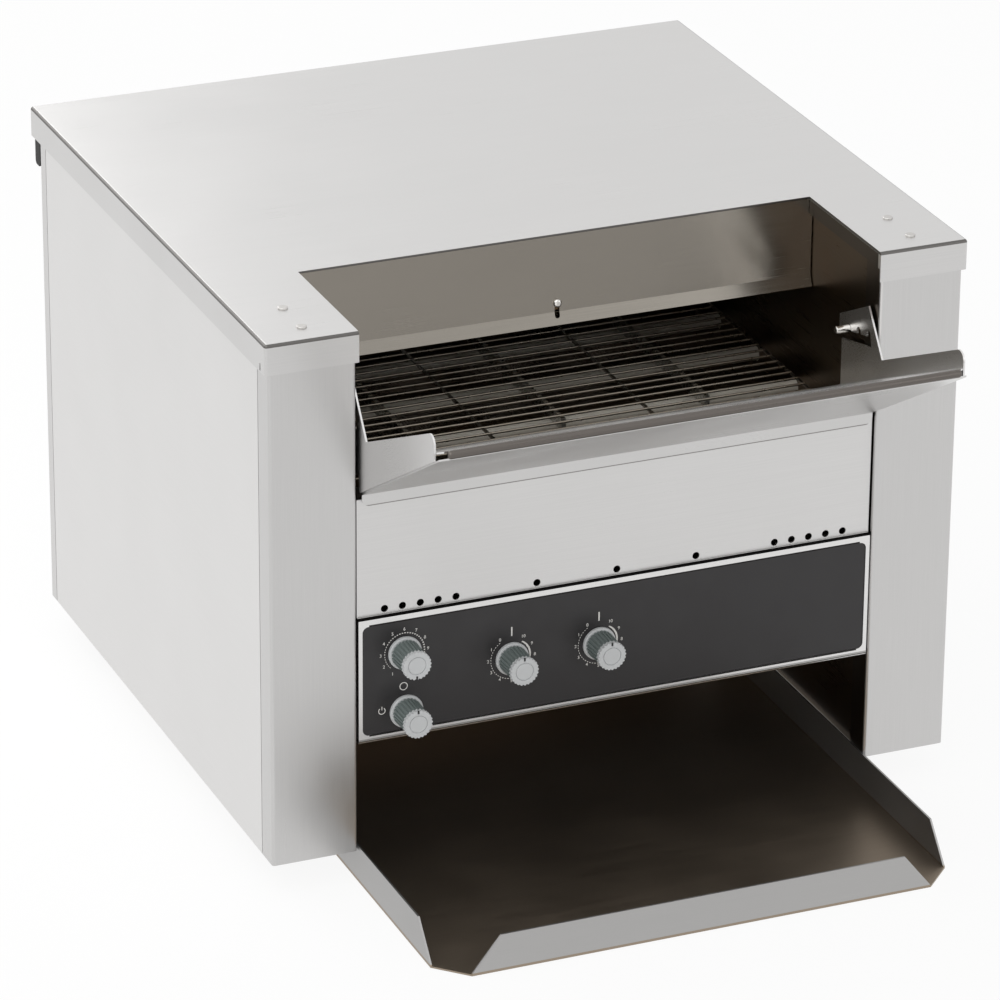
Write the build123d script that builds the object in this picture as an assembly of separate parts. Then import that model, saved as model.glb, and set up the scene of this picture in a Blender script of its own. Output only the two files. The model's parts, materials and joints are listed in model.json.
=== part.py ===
from build123d import *

import os
from math import atan2, cos, degrees, pi, radians, sin, tan

# Conveyor toaster for a counter: slices slide down the loading chute onto a wire
# belt, pass between quartz heaters, drop behind the belt and slide down a ramp
# into the tray in front.  Millimetres.  X runs across the front, Y runs towards
# the back with 0 on the front face of the columns, Z is up with 0 on the counter.
# The finished pieces are shifted along Y so that the origin lies under the middle.

# ---------------------------------------------------------------- driving sizes
SHEET = 1.2                  # stainless sheet of the housing
SEAT = 0.3                   # gap where one formed sheet lies on another
RUNNING = 0.05               # radial clearance of shafts and spindles

BODY_WIDTH = 464.8
BODY_DEPTH = 430.0
BODY_HEIGHT = 352.0          # bottom edge of the columns to the top of the lid
FOOT_HEIGHT = 22.0
FOOT_RADIUS = 12.5
FOOT_INSET_X = 27.4
FOOT_INSET_Y = 62.0
FOOT_TAPER = 2.0             # wider at the top
STUD_RADIUS = 2.0
STUD_LENGTH = 4.2            # above the top of a foot

COLUMN_WIDTH = 56.7          # each of the two front columns
COLUMN_SIDE_LAP = 18.0       # flange of a column round the outer corner
COLUMN_RETURN = 20.0         # flange of a column into the opening
REAR_LAP = 11.5              # flange of the rear panel round each rear corner
SEAM = 0.6
BEND = 2.0                   # outside radius of a folded edge

LID_SIDE_OVERHANG = 2.6
LID_FRONT_OVERHANG = 1.6
LID_REAR_OVERHANG = 11.0
LID_SKIRT = 20.0
LID_INNER_SKIRT = 11.5       # beside the notch
NOTCH_DEPTH = 102.0
NOTCH_LAP = 1.4              # the lid's inner skirts stand this far inside the columns
SKIRT_SLOT_HEIGHT = 4.6
SKIRT_SLOT_WIDTH = 1.3
SKIRT_SLOT_SETBACK = 6.7     # behind the columns' face
TAB_REACH = 12.0             # of a column's top tab, behind its rear rivet

RIVET_HEAD_RADIUS = 3.3
RIVET_HEAD_HEIGHT = 1.2
RIVET_SHANK_RADIUS = 2.0
RIVET_ROW_INSET = 28.4       # from the body's side
RIVET_FRONT = 18.0
RIVET_PITCH = 32.0

WALL_FLANGE = 12.0           # rear flange of each inner wall, for the rear screws
WALL_FLANGE_BOTTOM = 130.0   # above the bottom of the columns
REAR_SCREWS = 3              # on each side
REAR_SCREW_FIRST = 145.0     # above the bottom of the columns
REAR_SCREW_PITCH = 60.0
REAR_SCREW_RADIUS = 2.0
REAR_SCREW_HEAD_RADIUS = 3.6
REAR_SCREW_HEAD_HEIGHT = 2.2

DEFLECTOR_HEIGHT = 61.0
DEFLECTOR_KICK = 8.0
DEFLECTOR_KICK_OUT = 3.0
DEFLECTOR_FLANGE = 12.0
DEFLECTOR_SLOT_WIDTH = 3.4
DEFLECTOR_SLOT_LENGTH = 12.0
DEFLECTOR_SCREW_DROP = 47.0  # from the top of the lid down to the screw
DEFLECTOR_SIDE_GAP = 0.6     # to each inner wall
SCREW_HEAD_RADIUS = 2.9
SCREW_SHANK_RADIUS = 1.5

PANEL_BOTTOM = 73.5          # control panel, above the bottom of the columns
PANEL_HEIGHT = 86.0
PANEL_GAP = 1.1              # beside the panels, to each column
BEZEL_DEPTH = 12.0
BEZEL_SIDE = 2.6
BEZEL_TOP = 5.8
BEZEL_BOTTOM = 5.6
WINDOW_CORNER = 4.0
FASCIA_THICKNESS = 2.0
FASCIA_RECESS = 0.6

FRONT_PANEL_SETBACK = 3.0
FRONT_PANEL_TOP = 239.0      # above the bottom of the columns
FRONT_PANEL_LAP = 6.0        # tucked behind the top of the control panel
VENT_RADIUS = 2.4
VENT_PITCH = 11.9
VENT_GROUP = 5
VENT_GROUP_INSET = 42.1      # middle of a group, from the panel's end
VENT_SINGLE_X = 54.3
VENT_HEIGHT = 163.0          # above the bottom of the columns

KNOB_BASE_RADIUS = 11.0
KNOB_BASE_HEIGHT = 2.2
KNOB_BODY_RADIUS = 9.6
KNOB_TIP_RADIUS = 8.8
KNOB_LENGTH = 18.0
KNOB_RIBS = 24
KNOB_RIB_DEPTH = 0.5
KNOB_GAP = 0.4               # between a knob and the fascia
CAP_RADIUS = 9.2
CAP_HEIGHT = 3.0
CAP_TEETH = 30
CAP_TOOTH_DEPTH = 0.4
CAP_DISH_RADIUS = 5.8
CAP_GROOVE = 0.5
POINTER_WIDTH = 1.2
POINTER_LENGTH = 2.2
SPINDLE_RADIUS = 3.0
SPINDLE_GRIP = 12.0          # length of spindle inside a knob
SPINDLE_IN_UNIT = 9.0

SPEED_INSET = 30.6           # knob centres, from the panel's left end
POWER_INSET = 31.6
TOP_HEAT_INSET = 102.6
BOTTOM_HEAT_INSET = 161.9
SPEED_Z = 132.0              # above the bottom of the columns
POWER_Z = 91.7
HEAT_Z = 115.2

CHUTE_CLEARANCE = 1.8        # from each cheek to the column beside it
CHUTE_SLOPE = 24.8           # degrees
CHUTE_KNEE_REACH = 111.0     # forward of the columns
CHUTE_KNEE_HEIGHT = 317.0    # above the bottom of the columns
CHUTE_LIP_LENGTH = 17.4
CHUTE_LIP_SLOPE = 22.5       # degrees
CHUTE_LIP_CORNER = 12.0
CHUTE_REAR = 46.0            # rear edge of the chute floor, behind the columns' face
CHEEK_HEIGHT = 12.5
CHEEK_FRONT_REACH = 120.7
CHEEK_FRONT_RADIUS = 6.0
CHEEK_HORN_FRONT = -11.0     # where the cheek rises towards its hook
CHEEK_HORN_RUN = 21.0
CHEEK_HORN_RISE = 25.0       # top of the horn above the pin
CHEEK_REAR = 50.0            # rear edge above the hook slot
CHEEK_REAR_RISE = 5.0        # top of the rear edge above the pin
CHEEK_FOLD_DROP = 8.0        # lower corner of a cheek under the chute floor
HEM_RADIUS = 2.6
APRON_SETBACK = 1.6          # top edge of the apron behind the middle of the hem
APRON_HEM_GAP = 0.2
APRON_HEIGHT = 9.0
APRON_CORNER = 5.0
APRON_TOP = 245.0            # above the bottom of the columns

PIN_RADIUS = 2.5
PIN_SETBACK = 36.0
PIN_HEIGHT = 287.0           # above the bottom of the columns
PIN_REACH = 9.5              # how far a chute pin stands inside the cheek
NOTCH_PITCH = 14.0
NOTCH_CLEARANCE = 0.3
NOTCH_HEIGHT = 4.5           # of a notch above the slot that leads to it
HOOK_SLOT = 6.3
HOOK_SLOPE = 13.0            # degrees, the slot rises towards the front
HOOK_NOTCHES = 3

TRAY_GAP = 0.6               # beside the tray, to each column that guides it
TRAY_REACH = 140.0
TRAY_REAR = 228.0
TRAY_WALL = 25.0             # the tray stands on the counter
TRAY_CORNER = 19.5
TRAY_SIDE_SLANT = 21.0
TRAY_LIP_SLANT = 19.0
TRAY_REAR_LIP = 8.0

BELT_PITCH = 10.0
BELT_WIRE_RADIUS = 0.9
BELT_EDGE_GAP = 12.2         # from the belt to each inner wall
BELT_TOP = 232.0             # top run above the bottom of the columns
BELT_FRONT = 62.0            # front shaft behind the columns' face
REAR_SHAFT_GAP = 66.8        # rear shaft ahead of the rear panel
BELT_LINKS = 4
LINK_WIDTH = 2.0
LINK_THICKNESS = 1.2
LINK_GAP = 0.3
WHEEL_TEETH = 12
WHEEL_WIDTH = 4.0
WHEEL_NOTCH = 1.3            # round each wire or roller in its notch
TIP_CLEARANCE = 0.3          # from a wheel's tips to the wires or rollers over it
WHEELS = 4
WHEEL_EDGE = 36.0            # outer wheels' distance from the belt's edges
SHAFT_RADIUS = 5.0
BUSH_RADIUS = 8.0
BUSH_FLANGE_RADIUS = 11.0
BUSH_FLANGE = 2.0
COLLAR_WIDTH = 3.0

CHAIN_PITCH = 8.0
CHAIN_ROLLER_RADIUS = 2.2
CHAIN_ROLLER_WIDTH = 3.0
CHAIN_PLATE = 0.8
CHAIN_PLATE_HEIGHT = 5.0
CHAIN_RUN = 96.0             # between the centres of the two chain wheels
CHAIN_OFFSET = 6.0           # chain line outside the right inner wall
CHAIN_WHEEL_WIDTH = 2.4

GEARBOX_SIZE = 64.0
GEARBOX_DEPTH = 24.0
GEARBOX_STANDOFF = 13.5
MOTOR_RADIUS = 19.0
MOTOR_LENGTH = 58.0
MOTOR_SHAFT_RADIUS = 4.0
MOTOR_SHAFT_GRIP = 12.0      # length of output shaft inside the gearbox
STANDOFF_RADIUS = 4.0
STANDOFF_SPACING = 52.0

HEATER_RADIUS = 5.0
HEATER_HOLE_GAP = 1.0
HOLDER_RADIUS = 9.0
HOLDER_LENGTH = 10.0
UPPER_HEATERS = 4
UPPER_HEATER_HEIGHT = 286.0  # above the bottom of the columns
UPPER_HEATER_FRONT = 150.0
UPPER_HEATER_REAR = 17.0     # last upper heater ahead of the rear shaft
LOWER_HEATERS = 4
LOWER_HEATER_FRONT = 122.0
LOWER_HEATER_REAR = 60.0     # last lower heater ahead of the rear shaft

REFLECTOR_HEIGHT = 308.0     # upper reflector above the bottom of the columns
REFLECTOR_FLANGE = 12.0
REFLECTOR_REAR = 22.0        # from its rear edge to the rear of the body
LOWER_REFLECTOR_DROP = 12.5  # below the belt shafts
LOWER_REFLECTOR_GAP = 8.0    # along Y, to the belt where it turns
RAIL_WIDTH = 3.0
RAIL_HEIGHT = 8.0
RAIL_SPACING = 100.0
RAIL_LEG = 4.0
RAILS = 3

RAMP_REAR_GAP = 4.0          # from the ramp's upright to the rear panel
RAMP_TOP = 272.0             # above the bottom of the columns
RAMP_BEND_HEIGHT = 152.0
RAMP_FRONT = 184.0
RAMP_FRONT_HEIGHT = 9.0      # above the tray walls
RAMP_FLANGE = 10.0

BAY_DEPTH = 66.0             # control bay behind the front
BAY_HEIGHT = 100.0
MEMBER_DEPTH = 20.0
MEMBER_HEIGHT = 26.0

HEAT_UNIT_SIZE = 36.0
HEAT_UNIT_DEPTH = 30.0
SWITCH_SIZE = 30.0
SWITCH_DEPTH = 28.0
SPEED_UNIT_RADIUS = 12.0
SPEED_UNIT_DEPTH = 14.0

FAN_SIZE = 46.0
FAN_DEPTH = 15.0
FAN_HEIGHT = 70.0            # above the bottom of the columns
FAN_BORE_RADIUS = 21.0
FAN_HUB_RADIUS = 9.0
FAN_BLADES = 5
FAN_TIP_GAP = 1.0
FAN_SHAFT_RADIUS = 1.5
LOUVRE_LENGTH = 36.0
LOUVRE_WIDTH = 3.0
LOUVRE_PITCH = 8.0
LOUVRE_ROWS = 5
LOUVRE_COLUMNS = 6
LOUVRE_COLUMN_PITCH = 66.0
LOUVRE_BOTTOM = 292.0        # above the bottom of the columns

GLAND_RADIUS = 8.0
GLAND_NUT = 22.0             # across flats
GLAND_NUT_HEIGHT = 5.0
GLAND_REACH = 10.5
GLAND_BORE_RADIUS = 5.0
GLAND_HEIGHT = 40.0          # above the bottom of the columns
TERMINAL_LENGTH = 44.0
TERMINAL_WIDTH = 18.0
TERMINAL_HEIGHT = 20.0
TERMINAL_GAP = 72.0          # from the rear panel, ahead of the rear foot
THERMOSTAT_RADIUS = 8.0
THERMOSTAT_HEIGHT = 11.0

BUMPER_WIDTH = 8.0
BUMPER_HEIGHT = 35.0
BUMPER_TOP = 5.0             # below the top of the lid
BUMPER_ROUND = 3.0

# -------------------------------------------------------------- derived places
Z_BASE = FOOT_HEIGHT
Z_LID = Z_BASE + BODY_HEIGHT
Z_UNDER_LID = Z_LID - SHEET
HALF_BODY = BODY_WIDTH / 2
OPENING_WIDTH = BODY_WIDTH - 2 * COLUMN_WIDTH
HALF_OPENING = OPENING_WIDTH / 2
HALF_LID = HALF_BODY + LID_SIDE_OVERHANG
HALF_NOTCH = HALF_OPENING - NOTCH_LAP
WALL_IN = HALF_OPENING + SHEET + SEAT      # inner face of an inner wall
WALL_OUT = WALL_IN + SHEET
Y_REAR_IN = BODY_DEPTH - SHEET
HALF_PANEL = HALF_OPENING - PANEL_GAP
Z_PANEL = Z_BASE + PANEL_BOTTOM
Z_PANEL_TOP = Z_PANEL + PANEL_HEIGHT
Z_FRONT_TOP = Z_BASE + FRONT_PANEL_TOP

BELT_RADIUS = BELT_PITCH / (2 * sin(pi / WHEEL_TEETH))
Z_BELT = Z_BASE + BELT_TOP
Z_SHAFT = Z_BELT - BELT_RADIUS
Y_FRONT_SHAFT = BELT_FRONT
Y_REAR_SHAFT = Y_REAR_IN - REAR_SHAFT_GAP
BELT_RUN = Y_REAR_SHAFT - Y_FRONT_SHAFT
BELT_WIDTH = 2 * (WALL_IN - BELT_EDGE_GAP)
UPPER_HEATER_PITCH = (Y_REAR_SHAFT - UPPER_HEATER_REAR - UPPER_HEATER_FRONT) / (UPPER_HEATERS - 1)
LOWER_HEATER_PITCH = (Y_REAR_SHAFT - LOWER_HEATER_REAR - LOWER_HEATER_FRONT) / (LOWER_HEATERS - 1)

CHAIN_RADIUS = CHAIN_PITCH / (2 * sin(pi / WHEEL_TEETH))
X_CHAIN = WALL_OUT + CHAIN_OFFSET
Z_MOTOR = Z_SHAFT - CHAIN_RUN
X_GEARBOX = WALL_OUT + GEARBOX_STANDOFF

Y_DEFLECTOR = NOTCH_DEPTH + SEAT
Z_DEFLECTOR_SCREW = Z_LID - DEFLECTOR_SCREW_DROP
Z_REFLECTOR = Z_BASE + REFLECTOR_HEIGHT
Y_REFLECTOR = Y_DEFLECTOR + SHEET + SEAT
Z_UPPER_HEATER = Z_BASE + UPPER_HEATER_HEIGHT
Z_LOWER_REFLECTOR = Z_SHAFT - LOWER_REFLECTOR_DROP
Y_LOWER_REFLECTOR = Y_FRONT_SHAFT + BELT_RADIUS + LOWER_REFLECTOR_GAP
Y_LOWER_REFLECTOR_REAR = Y_REAR_SHAFT - BELT_RADIUS - LOWER_REFLECTOR_GAP

HALF_CHUTE = HALF_OPENING - CHUTE_CLEARANCE
Z_KNEE = Z_BASE + CHUTE_KNEE_HEIGHT
LIP_RUN = CHUTE_LIP_LENGTH * cos(radians(CHUTE_LIP_SLOPE))
Y_TIP = -CHUTE_KNEE_REACH - LIP_RUN
Z_TIP = Z_KNEE + LIP_RUN * tan(radians(CHUTE_LIP_SLOPE))
Z_HEM = Z_TIP - HEM_RADIUS
Y_APRON_TOP = Y_TIP + APRON_SETBACK
Z_APRON_TOP = Z_HEM - HEM_RADIUS - APRON_HEM_GAP
Z_APRON_LOW = Z_BASE + APRON_TOP
Z_PIN = Z_BASE + PIN_HEIGHT
Y_PIN = PIN_SETBACK

HALF_TRAY = HALF_OPENING - TRAY_GAP
Y_RAMP_REAR = Y_REAR_IN - RAMP_REAR_GAP
Z_RAMP_FRONT = TRAY_WALL + RAMP_FRONT_HEIGHT
Z_RAMP_BEND = Z_BASE + RAMP_BEND_HEIGHT

Y_FASCIA = FASCIA_RECESS
Y_FASCIA_BACK = FASCIA_RECESS + FASCIA_THICKNESS
KNOB_PLACES = {
    "speed": (SPEED_INSET - HALF_PANEL, Z_BASE + SPEED_Z),
    "power": (POWER_INSET - HALF_PANEL, Z_BASE + POWER_Z),
    "top_heat": (TOP_HEAT_INSET - HALF_PANEL, Z_BASE + HEAT_Z),
    "bottom_heat": (BOTTOM_HEAT_INSET - HALF_PANEL, Z_BASE + HEAT_Z),
}
POINTER_TURN = {"speed": 180.0, "power": 0.0, "top_heat": 0.0, "bottom_heat": 0.0}

X_FAN = -(WALL_OUT + HALF_BODY - SHEET) / 2
Z_FAN = Z_BASE + FAN_HEIGHT
Y_FAN = Y_REAR_IN - FAN_DEPTH
X_GLAND = (WALL_OUT + HALF_BODY - SHEET) / 2
Z_GLAND = Z_BASE + GLAND_HEIGHT

FRONT_REACH = max(TRAY_REACH, HEM_RADIUS - Y_TIP)
REAR_REACH = BODY_DEPTH + LID_REAR_OVERHANG
Y_SHIFT = (FRONT_REACH - REAR_REACH) / 2


# -------------------------------------------------------------------- helpers
def block(x0, x1, y0, y1, z0, z1):
    """Box between two corners."""
    middle = Pos((x0 + x1) / 2, (y0 + y1) / 2, (z0 + z1) / 2)
    return middle * Box(x1 - x0, y1 - y0, z1 - z0)


def rod_x(radius, x0, x1, y, z):
    """Round bar along X."""
    return Pos((x0 + x1) / 2, y, z) * Rot(0, 90, 0) * Cylinder(radius, x1 - x0)


def rod_y(radius, y0, y1, x, z):
    """Round bar along Y."""
    return Pos(x, (y0 + y1) / 2, z) * Rot(90, 0, 0) * Cylinder(radius, y1 - y0)


def rod_z(radius, z0, z1, x, y):
    """Round bar along Z."""
    return Pos(x, y, (z0 + z1) / 2) * Cylinder(radius, z1 - z0)


def side_profile(points, x0, x1):
    """Plate with its outline given as (y, z) points, between x0 and x1."""
    outline = Polyline(*[(x0, y, z) for y, z in points], close=True)
    return extrude(make_face(outline), amount=x1 - x0, dir=(1, 0, 0))


def mirrored(part):
    return mirror(part, about=Plane.YZ)


def chute_floor(y):
    """Height of the upper face of the chute floor."""
    return Z_KNEE - (y + CHUTE_KNEE_REACH) * tan(radians(CHUTE_SLOPE))


# --------------------------------------------------------------- housing pieces
def front_column():
    """Right column: folded front face with a flange round each side."""
    height = Z_UNDER_LID - SEAT - Z_BASE
    bar = block(HALF_OPENING, HALF_BODY, 0, COLUMN_RETURN, Z_BASE, Z_BASE + height)
    front_edges = bar.edges().filter_by(Axis.Z).group_by(Axis.Y)[0]
    bar = fillet(front_edges, BEND)
    hollow = block(HALF_OPENING + SHEET, HALF_BODY - SHEET, SHEET, COLUMN_RETURN + 1,
                   Z_BASE - 1, Z_LID)
    hollow = fillet(hollow.edges().filter_by(Axis.Z).group_by(Axis.Y)[0], BEND - SHEET)
    behind_lap = block(HALF_BODY - 2 * SHEET, HALF_BODY + 1, COLUMN_SIDE_LAP,
                       COLUMN_RETURN + 1, Z_BASE - 1, Z_LID)
    tab_top = Z_BASE + height
    tab = block(WALL_OUT, HALF_BODY - 2 * SHEET, SHEET / 2,
                RIVET_FRONT + RIVET_PITCH + TAB_REACH, tab_top - SHEET, tab_top)
    column = bar - hollow - behind_lap + tab
    for place in rivet_places():
        column -= rod_z(RIVET_SHANK_RADIUS + RUNNING, tab_top - 3, tab_top + 3, *place)
    return column


def rivet_places():
    x = HALF_BODY - RIVET_ROW_INSET
    return [(x, RIVET_FRONT), (x, RIVET_FRONT + RIVET_PITCH)]


def side_panel():
    """Right outer skin between the column's lap and the rear panel's lap."""
    return block(HALF_BODY - SHEET, HALF_BODY, COLUMN_SIDE_LAP + SEAM,
                 BODY_DEPTH - REAR_LAP - SEAM, Z_BASE, Z_UNDER_LID - SEAT)


def bottom_plate():
    """Right floor of the side box, which carries two feet."""
    plate = block(WALL_IN, HALF_BODY - SHEET - SEAT, SHEET + SEAT, Y_REAR_IN - SEAT,
                  Z_BASE, Z_BASE + SHEET)
    for y in foot_rows():
        plate -= rod_z(STUD_RADIUS + RUNNING, Z_BASE - 1, Z_BASE + SHEET + 1,
                       HALF_BODY - FOOT_INSET_X, y)
    return plate


def foot_rows():
    return (FOOT_INSET_Y, BODY_DEPTH - FOOT_INSET_Y)


def inner_wall(right):
    """Right inner wall of the oven, with the bores for the shafts and heaters."""
    wall = block(WALL_IN, WALL_OUT, SHEET + SEAT, Y_REAR_IN - SEAT,
                 Z_BASE + SHEET, Z_UNDER_LID - SEAT)
    for y in (Y_FRONT_SHAFT, Y_REAR_SHAFT):
        wall -= rod_x(BUSH_RADIUS, WALL_IN - 1, WALL_OUT + 1, y, Z_SHAFT)
    for y, z in heater_places():
        wall -= rod_x(HEATER_RADIUS + HEATER_HOLE_GAP, WALL_IN - 1, WALL_OUT + 1, y, z)
    wall -= rod_x(PIN_RADIUS - 1, WALL_IN - 1, WALL_OUT + 1, Y_PIN, Z_PIN)
    wall += block(WALL_OUT - SHEET / 2, WALL_OUT + WALL_FLANGE, Y_REAR_IN - SEAT - SHEET,
                  Y_REAR_IN - SEAT, Z_BASE + WALL_FLANGE_BOTTOM, Z_UNDER_LID - SEAT)
    for x, z in rear_screw_places():
        wall -= rod_y(REAR_SCREW_RADIUS + RUNNING, Y_REAR_IN - 4, Y_REAR_IN + 1, x, z)
    return wall if right else mirrored(wall)


def rear_screw_places():
    """(x, z) of the screws on the right."""
    x = WALL_OUT + WALL_FLANGE / 2
    return [(x, Z_BASE + REAR_SCREW_FIRST + i * REAR_SCREW_PITCH) for i in range(REAR_SCREWS)]


def rear_panel():
    """Rear face with a flange round each rear corner, louvres and bores."""
    top = Z_UNDER_LID - SEAT
    skin = block(-HALF_BODY, HALF_BODY, BODY_DEPTH - REAR_LAP, BODY_DEPTH, Z_BASE, top)
    skin = fillet(skin.edges().filter_by(Axis.Z).group_by(Axis.Y)[-1], BEND)
    hollow = block(-HALF_BODY + SHEET, HALF_BODY - SHEET, BODY_DEPTH - REAR_LAP - 1,
                   Y_REAR_IN, Z_BASE - 1, top + 1)
    hollow = fillet(hollow.edges().filter_by(Axis.Z).group_by(Axis.Y)[-1], BEND - SHEET)
    skin -= hollow
    first = -(LOUVRE_COLUMNS - 1) / 2 * LOUVRE_COLUMN_PITCH
    for column in range(LOUVRE_COLUMNS):
        for row in range(LOUVRE_ROWS):
            x = first + column * LOUVRE_COLUMN_PITCH
            z = Z_BASE + LOUVRE_BOTTOM + row * LOUVRE_PITCH
            skin -= louvre(x, z, LOUVRE_LENGTH)
    for row in range(-2, 3):
        chord = 2 * (FAN_BORE_RADIUS**2 - (row * LOUVRE_PITCH)**2)**0.5
        skin -= louvre(X_FAN, Z_FAN + row * LOUVRE_PITCH, chord)
    skin -= rod_y(GLAND_RADIUS + RUNNING, Y_REAR_IN - 1, BODY_DEPTH + 1, X_GLAND, Z_GLAND)
    for x, z in rear_screw_places():
        for side in (-1, 1):
            skin -= rod_y(REAR_SCREW_RADIUS + RUNNING, Y_REAR_IN - 1, BODY_DEPTH + 1,
                          side * x, z)
    return skin


def rear_screws():
    """Pan-head screws through the rear panel into the inner walls' flanges."""
    screws = []
    for x, z in rear_screw_places():
        for side in (-1, 1):
            head = rod_y(REAR_SCREW_HEAD_RADIUS, BODY_DEPTH, BODY_DEPTH + REAR_SCREW_HEAD_HEIGHT,
                         side * x, z)
            head = chamfer(head.edges().group_by(Axis.Y)[-1], REAR_SCREW_HEAD_HEIGHT / 2)
            shank = rod_y(REAR_SCREW_RADIUS, Y_REAR_IN - 6, BODY_DEPTH, side * x, z)
            screws.append(head + shank)
    return Compound(screws)


def louvre(x, z, length):
    """Cutter for one round-ended slot in the rear panel."""
    slot = Plane((x, BODY_DEPTH + 1, z), x_dir=(1, 0, 0), z_dir=(0, 1, 0))
    return extrude(slot * SlotOverall(length, LOUVRE_WIDTH), amount=-SHEET - 2)


def lid():
    """Folded lid: top, skirts all round, and the notch over the loading chute."""
    y0 = -LID_FRONT_OVERHANG
    y1 = BODY_DEPTH + LID_REAR_OVERHANG
    z0 = Z_LID - LID_SKIRT
    shell = block(-HALF_LID, HALF_LID, y0, y1, z0, Z_LID)
    shell = fillet(shell.edges().filter_by(Axis.Z), BEND)
    shell = fillet(shell.edges().group_by(Axis.Z)[-1], BEND)
    shell -= block(-HALF_LID + SHEET, HALF_LID - SHEET, y0 + SHEET, y1 - SHEET,
                   z0 - 1, Z_UNDER_LID)
    shell -= block(-HALF_NOTCH, HALF_NOTCH, y0 - 1, NOTCH_DEPTH, z0 - 1, Z_LID + 1)
    inner_skirt = block(HALF_NOTCH, HALF_NOTCH + SHEET, y0 + SHEET / 2, NOTCH_DEPTH,
                        Z_LID - LID_INNER_SKIRT, Z_UNDER_LID + SHEET / 2)
    shell += inner_skirt
    shell += mirrored(inner_skirt)
    for x, y in rivet_places():
        for side in (-1, 1):
            shell -= rod_z(RIVET_SHANK_RADIUS + RUNNING, Z_LID - 3, Z_LID + 1, side * x, y)
    slot = block(-HALF_LID - 1, -HALF_LID + 2 * SHEET,
                 SKIRT_SLOT_SETBACK - SKIRT_SLOT_WIDTH / 2,
                 SKIRT_SLOT_SETBACK + SKIRT_SLOT_WIDTH / 2, z0 + 1, z0 + 1 + SKIRT_SLOT_HEIGHT)
    shell -= slot
    shell -= mirrored(slot)
    return shell


def lid_rivets():
    """Four low domed rivets that fix the lid to the column tabs."""
    bottom = Z_UNDER_LID - SEAT - SHEET - 1.5
    rivets = []
    for x, y in rivet_places():
        for side in (-1, 1):
            head = Pos(side * x, y, Z_LID + RIVET_HEAD_HEIGHT / 2) * Cylinder(
                RIVET_HEAD_RADIUS, RIVET_HEAD_HEIGHT)
            head = fillet(head.edges().group_by(Axis.Z)[-1], RIVET_HEAD_HEIGHT * 0.7)
            rivets.append(head + rod_z(RIVET_SHANK_RADIUS, bottom, Z_LID, side * x, y))
    return Compound(rivets)


def rear_deflector():
    """Plate behind the notch, kicked out at its lower edge, with a screw slot."""
    top = Z_UNDER_LID - SEAT
    knee = Z_LID - DEFLECTOR_HEIGHT + DEFLECTOR_KICK
    foot = Z_LID - DEFLECTOR_HEIGHT
    y = Y_DEFLECTOR
    kick = DEFLECTOR_KICK_OUT
    points = [(y, top), (y, knee), (y - kick, foot), (y - kick + SHEET, foot),
              (y + SHEET, knee), (y + SHEET, top - SHEET),
              (y + DEFLECTOR_FLANGE, top - SHEET), (y + DEFLECTOR_FLANGE, top)]
    half = WALL_IN - DEFLECTOR_SIDE_GAP
    plate = side_profile(points, -half, half)
    middle = Z_DEFLECTOR_SCREW - DEFLECTOR_SLOT_LENGTH / 3
    face = Plane((0, y - 5, middle), x_dir=(1, 0, 0), z_dir=(0, 1, 0))
    slot = face * (Rot(0, 0, 90) * SlotOverall(DEFLECTOR_SLOT_LENGTH, DEFLECTOR_SLOT_WIDTH))
    return plate - extrude(slot, amount=10)


def deflector_screw():
    """Dome-headed screw through the slot into the reflector's front flange."""
    y = Y_DEFLECTOR
    head = Pos(0, y, Z_DEFLECTOR_SCREW) * Rot(90, 0, 0) * Cylinder(
        SCREW_HEAD_RADIUS, 2.2, align=(Align.CENTER, Align.CENTER, Align.MIN))
    head = fillet(head.edges().group_by(Axis.Y)[0], 1.8)
    shank = rod_y(SCREW_SHANK_RADIUS, y - 0.5, Y_REFLECTOR + SHEET + 5, 0, Z_DEFLECTOR_SCREW)
    nut = rod_y(2.6, Y_REFLECTOR + SHEET, Y_REFLECTOR + SHEET + 2.4, 0, Z_DEFLECTOR_SCREW)
    return head + shank + nut


def front_panel():
    """Panel between chute and controls, with the row of vent holes."""
    y = FRONT_PANEL_SETBACK
    bottom = Z_PANEL_TOP - FRONT_PANEL_LAP
    panel = block(-HALF_PANEL, HALF_PANEL, y, y + SHEET, bottom, Z_FRONT_TOP)
    ear = block(HALF_PANEL - SHEET, HALF_PANEL, y + SHEET / 2, y + MEMBER_DEPTH / 2,
                bottom, Z_FRONT_TOP)
    panel = panel + ear + mirrored(ear)
    for x in vent_places():
        panel -= rod_y(VENT_RADIUS, y - 1, y + SHEET + 1, x, Z_BASE + VENT_HEIGHT)
    return panel


def vent_places():
    """Two groups of holes near the ends and three single holes between them."""
    middle = HALF_PANEL - VENT_GROUP_INSET
    groups = [side * middle + (i - (VENT_GROUP - 1) / 2) * VENT_PITCH
              for side in (-1, 1) for i in range(VENT_GROUP)]
    return groups + [-VENT_SINGLE_X, 0.0, VENT_SINGLE_X]


def control_bezel():
    """Steel frame round the fascia: a shallow folded tray with a window."""
    frame = block(-HALF_PANEL, HALF_PANEL, 0, BEZEL_DEPTH, Z_PANEL, Z_PANEL_TOP)
    long_edges = frame.edges().filter_by(Axis.X).group_by(Axis.Y)[0]
    frame = fillet(long_edges, BEND)
    frame -= block(-HALF_PANEL + SHEET, HALF_PANEL - SHEET, SHEET, BEZEL_DEPTH + 1,
                   Z_PANEL + SHEET, Z_PANEL_TOP - SHEET)
    frame -= block(-HALF_PANEL - 1, HALF_PANEL + 1, FRONT_PANEL_SETBACK - SEAT,
                   BEZEL_DEPTH + 1, Z_PANEL_TOP - FRONT_PANEL_LAP - SEAT, Z_PANEL_TOP + 1)
    return frame - window(0.0, -1.0, SHEET + 2)


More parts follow.
